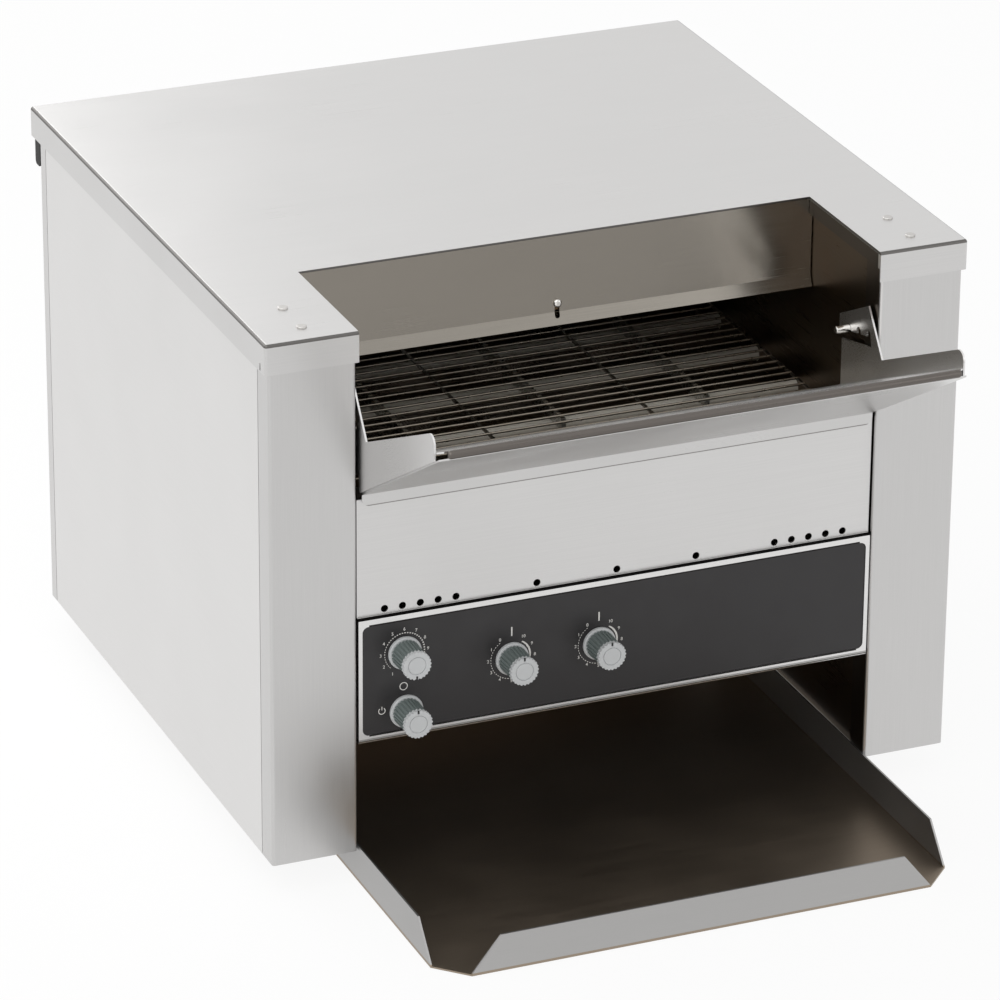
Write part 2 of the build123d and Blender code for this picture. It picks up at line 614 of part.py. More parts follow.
def window(gap, y, depth):
    """Round-cornered block of the fascia's outline, shrunk by a gap."""
    half = HALF_PANEL - BEZEL_SIDE - gap
    z0 = Z_PANEL + BEZEL_BOTTOM + gap
    z1 = Z_PANEL_TOP - BEZEL_TOP - gap
    face = Plane((0, y, (z0 + z1) / 2), x_dir=(1, 0, 0), z_dir=(0, 1, 0))
    outline = face * RectangleRounded(2 * half, z1 - z0, WINDOW_CORNER - gap)
    return extrude(outline, amount=depth)


def control_fascia():
    """Dark plate behind the bezel's window, with a bore for each spindle."""
    raised = window(SEAT / 2, Y_FASCIA, FASCIA_THICKNESS)
    back = block(-HALF_PANEL + SHEET + SEAT, HALF_PANEL - SHEET - SEAT, SHEET + 0.1,
                 Y_FASCIA_BACK, Z_PANEL + SHEET + SEAT,
                 Z_PANEL_TOP - FRONT_PANEL_LAP - 2 * SEAT)
    plate = raised + back
    for x, z in KNOB_PLACES.values():
        plate -= rod_y(SPINDLE_RADIUS + 0.5, -2, Y_FASCIA_BACK + 1, x, z)
    return plate


def cross_member():
    """Channel between the inner walls that carries the front panel's top."""
    y = FRONT_PANEL_SETBACK + SHEET
    top = Z_FRONT_TOP - SHEET
    channel = block(-WALL_IN, WALL_IN, y, y + MEMBER_DEPTH, top - MEMBER_HEIGHT, top)
    hollow = block(-WALL_IN - 1, WALL_IN + 1, y + SHEET, y + MEMBER_DEPTH + 1,
                   top - MEMBER_HEIGHT + SHEET, top - SHEET)
    column_gap = block(HALF_PANEL - SHEET - SEAT, WALL_IN + 1, y - 1,
                       COLUMN_RETURN + SEAT, top - MEMBER_HEIGHT - 1, top + 1)
    return channel - hollow - column_gap - mirrored(column_gap)


def control_bay():
    """Shield under and behind the controls, between the inner walls."""
    z = Z_PANEL + SHEET
    floor = block(-WALL_IN, WALL_IN, SHEET + SEAT, BAY_DEPTH, z, z + SHEET)
    back = block(-WALL_IN, WALL_IN, BAY_DEPTH - SHEET, BAY_DEPTH, z, z + BAY_HEIGHT)
    corner = block(HALF_PANEL - SHEET - SEAT, WALL_IN + 1, 0, COLUMN_RETURN + SEAT,
                   z - 1, z + SHEET + 1)
    fascia_gap = block(-WALL_IN, WALL_IN, 0, Y_FASCIA_BACK + SEAT, z - 1, z + SHEET + 1)
    return floor + back - corner - mirrored(corner) - fascia_gap


def feet():
    """Four rubber feet, each with a moulded stud through the bottom plate."""
    pads = []
    for side in (-1, 1):
        for y in foot_rows():
            x = side * (HALF_BODY - FOOT_INSET_X)
            pad = Pos(x, y, FOOT_HEIGHT / 2) * Cone(FOOT_RADIUS, FOOT_RADIUS + FOOT_TAPER,
                                                    FOOT_HEIGHT)
            pads.append(pad + rod_z(STUD_RADIUS, FOOT_HEIGHT - 1, FOOT_HEIGHT + STUD_LENGTH, x, y))
    return Compound(pads)


def rear_bumpers():
    """Two blocks under the lid's rear overhang that keep the back off a wall."""
    x1 = HALF_BODY
    y0 = BODY_DEPTH
    y1 = BODY_DEPTH + LID_REAR_OVERHANG - SHEET
    z1 = Z_LID - BUMPER_TOP
    bar = block(x1 - BUMPER_WIDTH, x1, y0, y1, z1 - BUMPER_HEIGHT, z1)
    bar = fillet(bar.edges().filter_by(Axis.X), BUMPER_ROUND)
    return Compound([bar, mirrored(bar)])


# ---------------------------------------------------------------- heating pieces
def heater_places():
    """(y, z) of every heater, upper row first."""
    upper = [(UPPER_HEATER_FRONT + i * UPPER_HEATER_PITCH, Z_UPPER_HEATER)
             for i in range(UPPER_HEATERS)]
    return upper + lower_heater_places()


def lower_heater_places():
    return [(LOWER_HEATER_FRONT + i * LOWER_HEATER_PITCH, Z_SHAFT)
            for i in range(LOWER_HEATERS)]


def heater_tubes(places):
    half = WALL_OUT + HOLDER_LENGTH - 2
    return Compound([rod_x(HEATER_RADIUS, -half, half, y, z) for y, z in places])


def heater_holders(places):
    """Ceramic cups on the outer faces of the inner walls, round each tube end."""
    cups = []
    for y, z in places:
        cup = rod_x(HOLDER_RADIUS, WALL_OUT, WALL_OUT + HOLDER_LENGTH, y, z)
        cup -= rod_x(HEATER_RADIUS + RUNNING, WALL_OUT - 1, WALL_OUT + HOLDER_LENGTH - 2, y, z)
        cups += [cup, mirrored(cup)]
    return Compound(cups)


def upper_reflector():
    """Sheet over the upper heaters, with a flange for the deflector's screw."""
    y0 = Y_REFLECTOR
    y1 = BODY_DEPTH - REFLECTOR_REAR
    z = Z_REFLECTOR
    sheet = block(-WALL_IN, WALL_IN, y0, y1, z, z + SHEET)
    front = block(-WALL_IN, WALL_IN, y0, y0 + SHEET, Z_DEFLECTOR_SCREW - 5, z + SHEET)
    ear = block(WALL_IN - SHEET, WALL_IN, y0, y1, z, z + REFLECTOR_FLANGE)
    sheet = sheet + front + ear + mirrored(ear)
    return sheet - rod_y(SCREW_SHANK_RADIUS + RUNNING, y0 - 1, y0 + 3, 0, Z_DEFLECTOR_SCREW)


def lower_reflector():
    """Sheet between the lower heaters and the belt's return run."""
    z = Z_LOWER_REFLECTOR
    y0, y1 = Y_LOWER_REFLECTOR, Y_LOWER_REFLECTOR_REAR
    sheet = block(-WALL_IN, WALL_IN, y0, y1, z, z + SHEET)
    ear = block(WALL_IN - SHEET, WALL_IN, y0, y1, z, z + 6)
    return sheet + ear + mirrored(ear)


def belt_rails():
    """Slides under the belt's top run, on legs that stand on the reflector."""
    top = Z_BELT - BELT_WIRE_RADIUS - SEAT
    z0 = Z_LOWER_REFLECTOR + SHEET
    rails = []
    for i in range(RAILS):
        x = (i - (RAILS - 1) / 2) * RAIL_SPACING
        x0, x1 = x - RAIL_WIDTH / 2, x + RAIL_WIDTH / 2
        rail = block(x0, x1, Y_LOWER_REFLECTOR, Y_LOWER_REFLECTOR_REAR, top - RAIL_HEIGHT, top)
        rail += block(x0, x1, Y_LOWER_REFLECTOR, Y_LOWER_REFLECTOR + RAIL_LEG, z0, top)
        rail += block(x0, x1, Y_LOWER_REFLECTOR_REAR - RAIL_LEG, Y_LOWER_REFLECTOR_REAR, z0, top)
        rails.append(rail)
    return Compound(rails)


def thermostat():
    """Over-temperature cut-out on top of the upper reflector."""
    z = Z_REFLECTOR + SHEET
    y = (Y_REFLECTOR + BODY_DEPTH - REFLECTOR_REAR) / 2
    can = Pos(0, y, z + THERMOSTAT_HEIGHT / 2) * Cylinder(THERMOSTAT_RADIUS, THERMOSTAT_HEIGHT)
    for side in (-1, 1):
        x = side * THERMOSTAT_RADIUS / 2
        can += block(x - 0.4, x + 0.4, y - 3, y + 3, z + THERMOSTAT_HEIGHT - 1,
                     z + THERMOSTAT_HEIGHT + 8)
    return can


# ------------------------------------------------------------------- belt drive
def loop_stations(pitch, run, radius):
    """Centres of a loop over two equal wheels, with the direction to the next.

    The wheels lie at 0 and at the run's length along the first axis.  Each station
    is (u, v, heading in degrees), going along the top run first.
    """
    step = 2 * pi / WHEEL_TEETH
    half = WHEEL_TEETH // 2
    count = round(run / pitch)
    spacing = run / count
    places = [(k * spacing, radius) for k in range(count)]
    places += [(run + radius * sin(k * step), radius * cos(k * step)) for k in range(half)]
    places += [(run - k * spacing, -radius) for k in range(count)]
    places += [(-radius * sin(k * step), -radius * cos(k * step)) for k in range(half)]
    following = places[1:] + places[:1]
    return [(u, v, degrees(atan2(w - v, s - u))) for (u, v), (s, w) in zip(places, following)]


def toothed_wheel(pitch, roller_radius, width, bore_radius):
    """Wheel along Z, notched at the pitch of the wires or rollers that run over it."""
    radius = pitch / (2 * sin(pi / WHEEL_TEETH))
    disc = Cylinder(radius - roller_radius - TIP_CLEARANCE, width)
    disc -= Cylinder(bore_radius, width + 2)
    gap = roller_radius + WHEEL_NOTCH
    for k in range(WHEEL_TEETH):
        cutter = Cylinder(gap, width + 2)
        cutter += Pos(0, gap, 0) * Box(2 * gap, 2 * gap, width + 2)
        disc -= Rot(0, 0, k * 360 / WHEEL_TEETH) * Pos(0, radius, 0) * cutter
    return disc


def belt_strand():
    """One cross wire along X with the flat eyes that reach the next wire."""
    wire = Rot(0, 90, 0) * Cylinder(BELT_WIRE_RADIUS, BELT_WIDTH)
    reach = BELT_PITCH - BELT_WIRE_RADIUS - LINK_GAP
    for x in link_places():
        wire += Pos(x, reach / 2, 0) * Box(LINK_WIDTH, reach, LINK_THICKNESS)
    return wire


def link_places():
    """Across the belt: evenly spaced, the outer ones at the wires' ends."""
    half = BELT_WIDTH / 2 - LINK_WIDTH / 2
    return [-half + i * 2 * half / (BELT_LINKS - 1) for i in range(BELT_LINKS)]


def conveyor_belt():
    """Endless belt: the strand repeated round the two shafts."""
    strand = belt_strand()
    stations = loop_stations(BELT_PITCH, BELT_RUN, BELT_RADIUS)
    return Compound([
        Pos(0, Y_FRONT_SHAFT + u, Z_SHAFT + v) * Rot(heading, 0, 0) * strand
        for u, v, heading in stations])


def wheel_places():
    """Across the belt: between the links, the same on both shafts."""
    span = BELT_WIDTH - 2 * WHEEL_EDGE
    return [-span / 2 + i * span / (WHEELS - 1) for i in range(WHEELS)]


def belt_wheels(y):
    wheel = toothed_wheel(BELT_PITCH, BELT_WIRE_RADIUS, WHEEL_WIDTH, SHAFT_RADIUS + RUNNING)
    return Compound([
        Pos(x, y, Z_SHAFT) * Rot(0, 90, 0) * wheel for x in wheel_places()])


def belt_shaft(y, right_end):
    """Round shaft with a collar outside each bush."""
    left_end = -(WALL_OUT + BUSH_FLANGE + SEAT + COLLAR_WIDTH + 2)
    shaft = rod_x(SHAFT_RADIUS, left_end, right_end, y, Z_SHAFT)
    inner = WALL_IN - SEAT
    outer = WALL_OUT + BUSH_FLANGE + SEAT
    shaft += rod_x(BUSH_RADIUS, -outer - COLLAR_WIDTH, -outer, y, Z_SHAFT)
    shaft += rod_x(BUSH_RADIUS, inner - COLLAR_WIDTH, inner, y, Z_SHAFT)
    return shaft


def shaft_bushes():
    """Flanged bushes in the inner walls, two for each belt shaft."""
    bushes = []
    for y in (Y_FRONT_SHAFT, Y_REAR_SHAFT):
        bush = rod_x(BUSH_RADIUS - 0.02, WALL_IN, WALL_OUT, y, Z_SHAFT)
        bush += rod_x(BUSH_FLANGE_RADIUS, WALL_OUT, WALL_OUT + BUSH_FLANGE, y, Z_SHAFT)
        bush -= rod_x(SHAFT_RADIUS + RUNNING, WALL_IN - 1, WALL_OUT + BUSH_FLANGE + 1, y, Z_SHAFT)
        bushes += [bush, mirrored(bush)]
    return Compound(bushes)


def chain_wheel(z, bore_radius):
    wheel = toothed_wheel(CHAIN_PITCH, CHAIN_ROLLER_RADIUS, CHAIN_WHEEL_WIDTH, bore_radius)
    return Pos(X_CHAIN, Y_REAR_SHAFT, z) * Rot(0, 90, 0) * wheel


def motor_chain_wheel():
    """Chain wheel on the gearmotor's output shaft, as one piece with it."""
    shaft = rod_x(MOTOR_SHAFT_RADIUS, X_CHAIN - CHAIN_WHEEL_WIDTH / 2 - 2,
                  X_GEARBOX + MOTOR_SHAFT_GRIP, Y_REAR_SHAFT, Z_MOTOR)
    return chain_wheel(Z_MOTOR, MOTOR_SHAFT_RADIUS) + shaft


def chain_link():
    """Roller along X with two plates that reach the next roller."""
    link = Rot(0, 90, 0) * Cylinder(CHAIN_ROLLER_RADIUS, CHAIN_ROLLER_WIDTH)
    length = CHAIN_PITCH - LINK_GAP
    x = (CHAIN_ROLLER_WIDTH + CHAIN_PLATE) / 2
    y = CHAIN_PITCH / 2 - CHAIN_ROLLER_RADIUS
    for side in (-1, 1):
        link += Pos(side * x, y, 0) * Box(CHAIN_PLATE, length, CHAIN_PLATE_HEIGHT)
    return link


def drive_chain():
    """Roller chain from the motor's wheel up to the rear belt shaft."""
    link = chain_link()
    stations = loop_stations(CHAIN_PITCH, CHAIN_RUN, CHAIN_RADIUS)
    return Compound([
        Pos(X_CHAIN, Y_REAR_SHAFT - v, Z_MOTOR + u) * Rot(heading + 90, 0, 0) * link
        for u, v, heading in stations])


def gear_motor():
    """Right-angle gearmotor: gearbox block with the motor can in front."""
    half = GEARBOX_SIZE / 2
    y, z = Y_REAR_SHAFT, Z_MOTOR
    box = block(X_GEARBOX, X_GEARBOX + GEARBOX_DEPTH, y - half, y + half, z - half, z + half)
    box = fillet(box.edges().filter_by(Axis.X), 5)
    x = X_GEARBOX + GEARBOX_DEPTH / 2 + (MOTOR_RADIUS - GEARBOX_DEPTH / 2)
    can = rod_y(MOTOR_RADIUS, y - half - MOTOR_LENGTH, y - half + 1, x, z)
    box += can
    return box - rod_x(MOTOR_SHAFT_RADIUS + RUNNING, X_GEARBOX - 1,
                       X_GEARBOX + MOTOR_SHAFT_GRIP + 2, y, z)


def motor_standoffs():
    """Four posts from the right inner wall to the gearbox."""
    half = STANDOFF_SPACING / 2
    return Compound([
        rod_x(STANDOFF_RADIUS, WALL_OUT, X_GEARBOX, Y_REAR_SHAFT + i * half, Z_MOTOR + j * half)
        for i in (-1, 1) for j in (-1, 1)])


# --------------------------------------------------------------- chute and tray
def chute_pan():
    """Sloping floor with a flatter lip, two cheeks with hooks, and a rolled hem."""
    knee = (-CHUTE_KNEE_REACH, Z_KNEE)
    tip = (Y_TIP, Z_TIP)
    rear = (CHUTE_REAR, chute_floor(CHUTE_REAR))
    floor = side_profile(
        [tip, knee, rear, (rear[0], rear[1] - SHEET), (knee[0], knee[1] - SHEET),
         (tip[0], tip[1] - SHEET)], -HALF_CHUTE, HALF_CHUTE)
    blank = Plane((0, (tip[0] + rear[0]) / 2, Z_BASE)) * RectangleRounded(
        2 * HALF_CHUTE, rear[0] - tip[0], CHUTE_LIP_CORNER)
    square_rear = block(-HALF_CHUTE, HALF_CHUTE, 0, rear[0], Z_BASE, Z_LID)
    floor = floor & (extrude(blank, amount=BODY_HEIGHT) + square_rear)
    hem_half = HALF_CHUTE - CHUTE_LIP_CORNER / 2
    hem = rod_x(HEM_RADIUS, -hem_half, hem_half, Y_TIP, Z_HEM)
    hem = fillet(hem.edges(), HEM_RADIUS * 0.7)
    pan = floor + hem
    cheek = chute_cheek()
    return pan + cheek + mirrored(cheek)


def chute_cheek():
    """Right cheek: low wall in front, taller behind, with the hook over the pin."""
    y_front = -CHEEK_FRONT_REACH
    y_horn = CHEEK_HORN_FRONT
    floor_rear = chute_floor(CHUTE_REAR) - SHEET
    hook = PIN_RADIUS + NOTCH_CLEARANCE
    slot_top = hook - NOTCH_HEIGHT
    slot_mouth = (Z_PIN + slot_top - HOOK_SLOT / 2
                  - (CHEEK_REAR - Y_PIN) * tan(radians(HOOK_SLOPE)))
    points = [(y_front, chute_floor(y_front) + CHEEK_HEIGHT),
              (y_horn, chute_floor(y_horn) + CHEEK_HEIGHT),
              (y_horn + CHEEK_HORN_RUN, Z_PIN + CHEEK_HORN_RISE),
              (CHEEK_REAR, Z_PIN + CHEEK_REAR_RISE), (CHEEK_REAR, slot_mouth),
              (CHUTE_REAR, slot_mouth), (CHUTE_REAR, floor_rear),
              (SHEET, chute_floor(SHEET) - SHEET - CHEEK_FOLD_DROP),
              (-SHEET / 2, apron_line(-SHEET / 2)), (y_front, apron_line(y_front))]
    cheek = side_profile(points, HALF_CHUTE - SHEET, HALF_CHUTE)
    nose = cheek.edges().filter_by(Axis.X).sort_by(Axis.Y)[:2].sort_by(Axis.Z)[-1]
    cheek = fillet(nose, CHEEK_FRONT_RADIUS)
    slot_bottom = slot_top - HOOK_SLOT
    cutter = block(-SHEET, SHEET, -(HOOK_NOTCHES - 1) * NOTCH_PITCH - hook,
                   CHEEK_REAR - Y_PIN + NOTCH_PITCH, slot_bottom, slot_top)
    for i in range(HOOK_NOTCHES):
        y = -i * NOTCH_PITCH
        cutter += block(-SHEET, SHEET, y - hook, y + hook, slot_bottom, 0)
        cutter += rod_x(hook, -SHEET, SHEET, y, 0)
    return cheek - Pos(HALF_CHUTE - SHEET / 2, Y_PIN, Z_PIN) * Rot(-HOOK_SLOPE, 0, 0) * cutter


def apron_line(y):
    """Height of the upper face of the chute's front sheet."""
    return Z_APRON_LOW + y / Y_APRON_TOP * (Z_APRON_TOP - Z_APRON_LOW)


def chute_apron():
    """Sheet under the chute from the lip back to the columns, with a drip edge."""
    z_low = Z_APRON_LOW
    half = HALF_CHUTE - SHEET - 0.1
    points = [(0, z_low), (Y_APRON_TOP, Z_APRON_TOP), (Y_APRON_TOP, Z_APRON_TOP - SHEET),
              (-SHEET, z_low - SHEET), (-SHEET, z_low - APRON_HEIGHT), (0, z_low - APRON_HEIGHT)]
    apron = side_profile(points, -half, half)
    return fillet(apron.edges().filter_by(Axis.Y).group_by(Axis.Z)[0], APRON_CORNER)


def chute_pins():
    """Two pins riveted into the inner walls, on which the chute hangs."""
    inner = HALF_CHUTE - SHEET - PIN_REACH
    pin = rod_x(PIN_RADIUS, inner, WALL_IN, Y_PIN, Z_PIN)
    pin = chamfer(pin.edges().group_by(Axis.X)[0], 0.6)
    pin += rod_x(PIN_RADIUS - 1.05, WALL_IN - 1, WALL_OUT + 2, Y_PIN, Z_PIN)
    return Compound([pin, mirrored(pin)])


def discharge_tray():
    """Tray with open, bevelled front corners, as one folded blank."""
    z0, z1 = 0.0, TRAY_WALL
    y0, y1 = -TRAY_REACH, TRAY_REAR
    corner = TRAY_CORNER
    outline = Polyline((HALF_TRAY, y1, z0), (HALF_TRAY, y0 + corner, z0),
                       (HALF_TRAY - corner, y0, z0), (-HALF_TRAY + corner, y0, z0),
                       (-HALF_TRAY, y0 + corner, z0), (-HALF_TRAY, y1, z0), close=True)
    tray = extrude(make_face(outline), amount=SHEET, dir=(0, 0, 1))
    wall = side_profile([(y1, z0), (y0 + corner, z0), (y0 + corner, z0 + SHEET),
                         (y0 + corner + TRAY_SIDE_SLANT, z1), (y1, z1)],
                        HALF_TRAY - SHEET, HALF_TRAY)
    half = HALF_TRAY - corner
    front = Polyline((-half, y0, z0), (half, y0, z0), (half, y0, z0 + SHEET),
                     (half - TRAY_LIP_SLANT, y0, z1), (-half + TRAY_LIP_SLANT, y0, z1),
                     (-half, y0, z0 + SHEET), close=True)
    lip = extrude(make_face(front), amount=SHEET, dir=(0, 1, 0))
    rear = block(-HALF_TRAY, HALF_TRAY, y1 - SHEET, y1, z0, z0 + TRAY_REAR_LIP)
    return tray + wall + mirrored(wall) + lip + rear


def discharge_ramp():
    """Upright behind the belt and the slope that carries slices to the tray."""
    y0, y1 = RAMP_FRONT, Y_RAMP_REAR
    z_top = Z_BASE + RAMP_TOP
    slope = atan2(Z_RAMP_BEND - Z_RAMP_FRONT, y1 - y0)
    drop = SHEET / cos(slope)
    points = [(y0, Z_RAMP_FRONT), (y1 - SHEET, Z_RAMP_BEND), (y1 - SHEET, z_top), (y1, z_top),
              (y1, Z_RAMP_BEND - drop), (y0, Z_RAMP_FRONT - drop)]
    ramp = side_profile(points, -WALL_IN + SEAT, WALL_IN - SEAT)
    ear = side_profile([(y0, Z_RAMP_FRONT - drop), (y1, Z_RAMP_BEND - drop),
                        (y1, Z_RAMP_BEND + RAMP_FLANGE), (y0, Z_RAMP_FRONT + RAMP_FLANGE)],
                       WALL_IN - SHEET, WALL_IN)
    return ramp + ear + mirrored(ear)


# -------------------------------------------------------------------- controls
def ribbed_ring(radius, depth, count, z0, height, tip_radius=None):
    """Prism along Z with a serrated outline, narrowing to a tip radius."""
    def outline(r, z):
        corners = []
        for i in range(2 * count):
            reach = r if i % 2 == 0 else r - depth
            angle = i * pi / count
            corners.append((reach * cos(angle), reach * sin(angle), z))
        return make_face(Polyline(*corners, close=True))
    if tip_radius is None:
        return extrude(outline(radius, z0), amount=height, dir=(0, 0, 1))
    return loft([outline(radius, z0), outline(tip_radius, z0 + height)])


def at_knob(name, part):
    """Stands a part made along +Z on the fascia at a knob, pointing forwards."""
    x, z = KNOB_PLACES[name]
    return Pos(x, Y_FASCIA - KNOB_GAP, z) * Rot(90, 0, 0) * part


def knob(name):
    """Ribbed, slightly tapered body on a plain base ring."""
    ring = Pos(0, 0, KNOB_BASE_HEIGHT / 2) * Cylinder(KNOB_BASE_RADIUS, KNOB_BASE_HEIGHT)
    ring = fillet(ring.edges().group_by(Axis.Z)[-1], 0.8)
    body = ribbed_ring(KNOB_BODY_RADIUS, KNOB_RIB_DEPTH, KNOB_RIBS, KNOB_BASE_HEIGHT - 0.5,
                       KNOB_LENGTH - KNOB_BASE_HEIGHT + 0.5, KNOB_TIP_RADIUS)
    bore = Pos(0, 0, SPINDLE_GRIP / 2 - 0.5) * Cylinder(SPINDLE_RADIUS, SPINDLE_GRIP + 1)
    return at_knob(name, ring + body - bore)


def knob_cap(name):
    """Serrated cap with a shallow dish and the pointer's notch in its rim."""
    cap = ribbed_ring(CAP_RADIUS, CAP_TOOTH_DEPTH, CAP_TEETH, KNOB_LENGTH, CAP_HEIGHT)
    top = KNOB_LENGTH + CAP_HEIGHT
    groove = Cylinder(CAP_DISH_RADIUS, 2 * CAP_GROOVE) - Cylinder(CAP_DISH_RADIUS - 0.7, 4)
    cap -= Pos(0, 0, top) * groove
    notch = Pos(0, CAP_RADIUS, top) * Box(POINTER_WIDTH, 2 * POINTER_LENGTH, CAP_HEIGHT)
    cap -= Rot(0, 0, POINTER_TURN[name]) * notch
    return at_knob(name, cap)


def spindle(name):
    """Spindle from the knob through the fascia into its control unit."""
    length = SPINDLE_GRIP + KNOB_GAP + FASCIA_THICKNESS + SPINDLE_IN_UNIT
    middle = SPINDLE_GRIP - length / 2
    return at_knob(name, Pos(0, 0, middle) * Cylinder(SPINDLE_RADIUS, length))


def spindle_bore(name):
    """Cutter for the bore in a control unit."""
    x, z = KNOB_PLACES[name]
    return rod_y(SPINDLE_RADIUS + RUNNING, Y_FASCIA_BACK - 1,
                 Y_FASCIA_BACK + SPINDLE_IN_UNIT + 0.5, x, z)


def block_unit(name, size, depth):
    """Square control body screwed to the back of the fascia."""
    x, z = KNOB_PLACES[name]
    half = size / 2
    y0 = Y_FASCIA_BACK
    body = block(x - half, x + half, y0, y0 + depth, z - half, z + half)
    body = fillet(body.edges().filter_by(Axis.Y), 2)
    for i in (-1, 1):
        body += block(x + i * half / 2 - 3, x + i * half / 2 + 3, y0 + depth, y0 + depth + 8,
                      z - 0.4, z + 0.4)
    return body - spindle_bore(name)


def speed_unit():
    """Round potentiometer behind the speed knob."""
    x, z = KNOB_PLACES["speed"]
    y0 = Y_FASCIA_BACK
    body = rod_y(SPEED_UNIT_RADIUS, y0, y0 + SPEED_UNIT_DEPTH, x, z)
    for i in (-1, 0, 1):
        body += block(x + 6 * i - 1.5, x + 6 * i + 1.5, y0 + SPEED_UNIT_DEPTH - 2,
                      y0 + SPEED_UNIT_DEPTH + 5, z + 5, z + 5.8)
    return body - spindle_bore("speed")


# ----------------------------------------------------------- cooling and supply
def fan_frame():
    """Square axial fan housing with a hub held by four struts."""
    half = FAN_SIZE / 2
    frame = block(X_FAN - half, X_FAN + half, Y_FAN, Y_REAR_IN, Z_FAN - half, Z_FAN + half)
    frame = fillet(frame.edges().filter_by(Axis.Y), 3)
    frame -= rod_y(FAN_BORE_RADIUS, Y_FAN - 1, Y_REAR_IN + 1, X_FAN, Z_FAN)
    frame += rod_y(FAN_HUB_RADIUS, Y_REAR_IN - 3, Y_REAR_IN - 0.2, X_FAN, Z_FAN)
    reach = FAN_BORE_RADIUS + 0.5
    for turn in (45, 135):
        strut = Box(2 * reach, 2.2, 3)
        frame += Pos(X_FAN, Y_REAR_IN - 1.6, Z_FAN) * Rot(90, 0, 0) * Rot(0, 0, turn) * strut
    return frame - rod_y(FAN_SHAFT_RADIUS + RUNNING, Y_REAR_IN - 4, Y_REAR_IN + 1, X_FAN, Z_FAN)


def fan_rotor():
    """Hub with pitched blades on a short shaft."""
    y0, y1 = Y_FAN + 1, Y_REAR_IN - 3.6
    depth = y1 - y0
    rotor = Cylinder(FAN_HUB_RADIUS, depth)
    tip = FAN_BORE_RADIUS - FAN_TIP_GAP
    for i in range(FAN_BLADES):
        blade = Pos((FAN_HUB_RADIUS + tip) / 2 - 0.5, 0, 0) * Rot(32, 0, 0) * Box(
            tip - FAN_HUB_RADIUS, 12, 1.2)
        rotor += Rot(0, 0, i * 360 / FAN_BLADES) * blade
    rotor = rotor & Cylinder(tip, depth)
    rotor += Pos(0, 0, -depth / 2 - 1.5) * Cylinder(FAN_SHAFT_RADIUS, 4)
    return Pos(X_FAN, (y0 + y1) / 2, Z_FAN) * Rot(90, 0, 0) * rotor


def cord_inlet():
    """Cable gland through the rear panel: nuts on both faces and a bore."""
    outside = Plane((X_GLAND, BODY_DEPTH, Z_GLAND), x_dir=(1, 0, 0), z_dir=(0, 1, 0))
    nut = RegularPolygon(GLAND_NUT / 2, 6, major_radius=False)
    gland = extrude(outside * nut, amount=GLAND_NUT_HEIGHT)
    inside = Plane((X_GLAND, Y_REAR_IN, Z_GLAND), x_dir=(1, 0, 0), z_dir=(0, 1, 0))
    gland += extrude(inside * nut, amount=-GLAND_NUT_HEIGHT)
    gland += rod_y(GLAND_RADIUS, Y_REAR_IN - GLAND_NUT_HEIGHT - 2, BODY_DEPTH + GLAND_REACH,
                   X_GLAND, Z_GLAND)
    return gland - rod_y(GLAND_BORE_RADIUS, Y_REAR_IN - GLAND_NUT_HEIGHT - 3,
                         BODY_DEPTH + GLAND_REACH + 1, X_GLAND, Z_GLAND)


def terminal_block():
    """Three-way terminal block on the right bottom plate."""
    y1 = Y_REAR_IN - TERMINAL_GAP
    z0 = Z_BASE + SHEET
    x0 = X_GLAND - TERMINAL_WIDTH / 2
    body = block(x0, x0 + TERMINAL_WIDTH, y1 - TERMINAL_LENGTH, y1, z0, z0 + TERMINAL_HEIGHT)
    for i in range(3):
        y = y1 - TERMINAL_LENGTH * (i + 0.5) / 3
        body -= rod_z(3.0, z0 + TERMINAL_HEIGHT - 6, z0 + TERMINAL_HEIGHT + 1, X_GLAND, y)
    return body


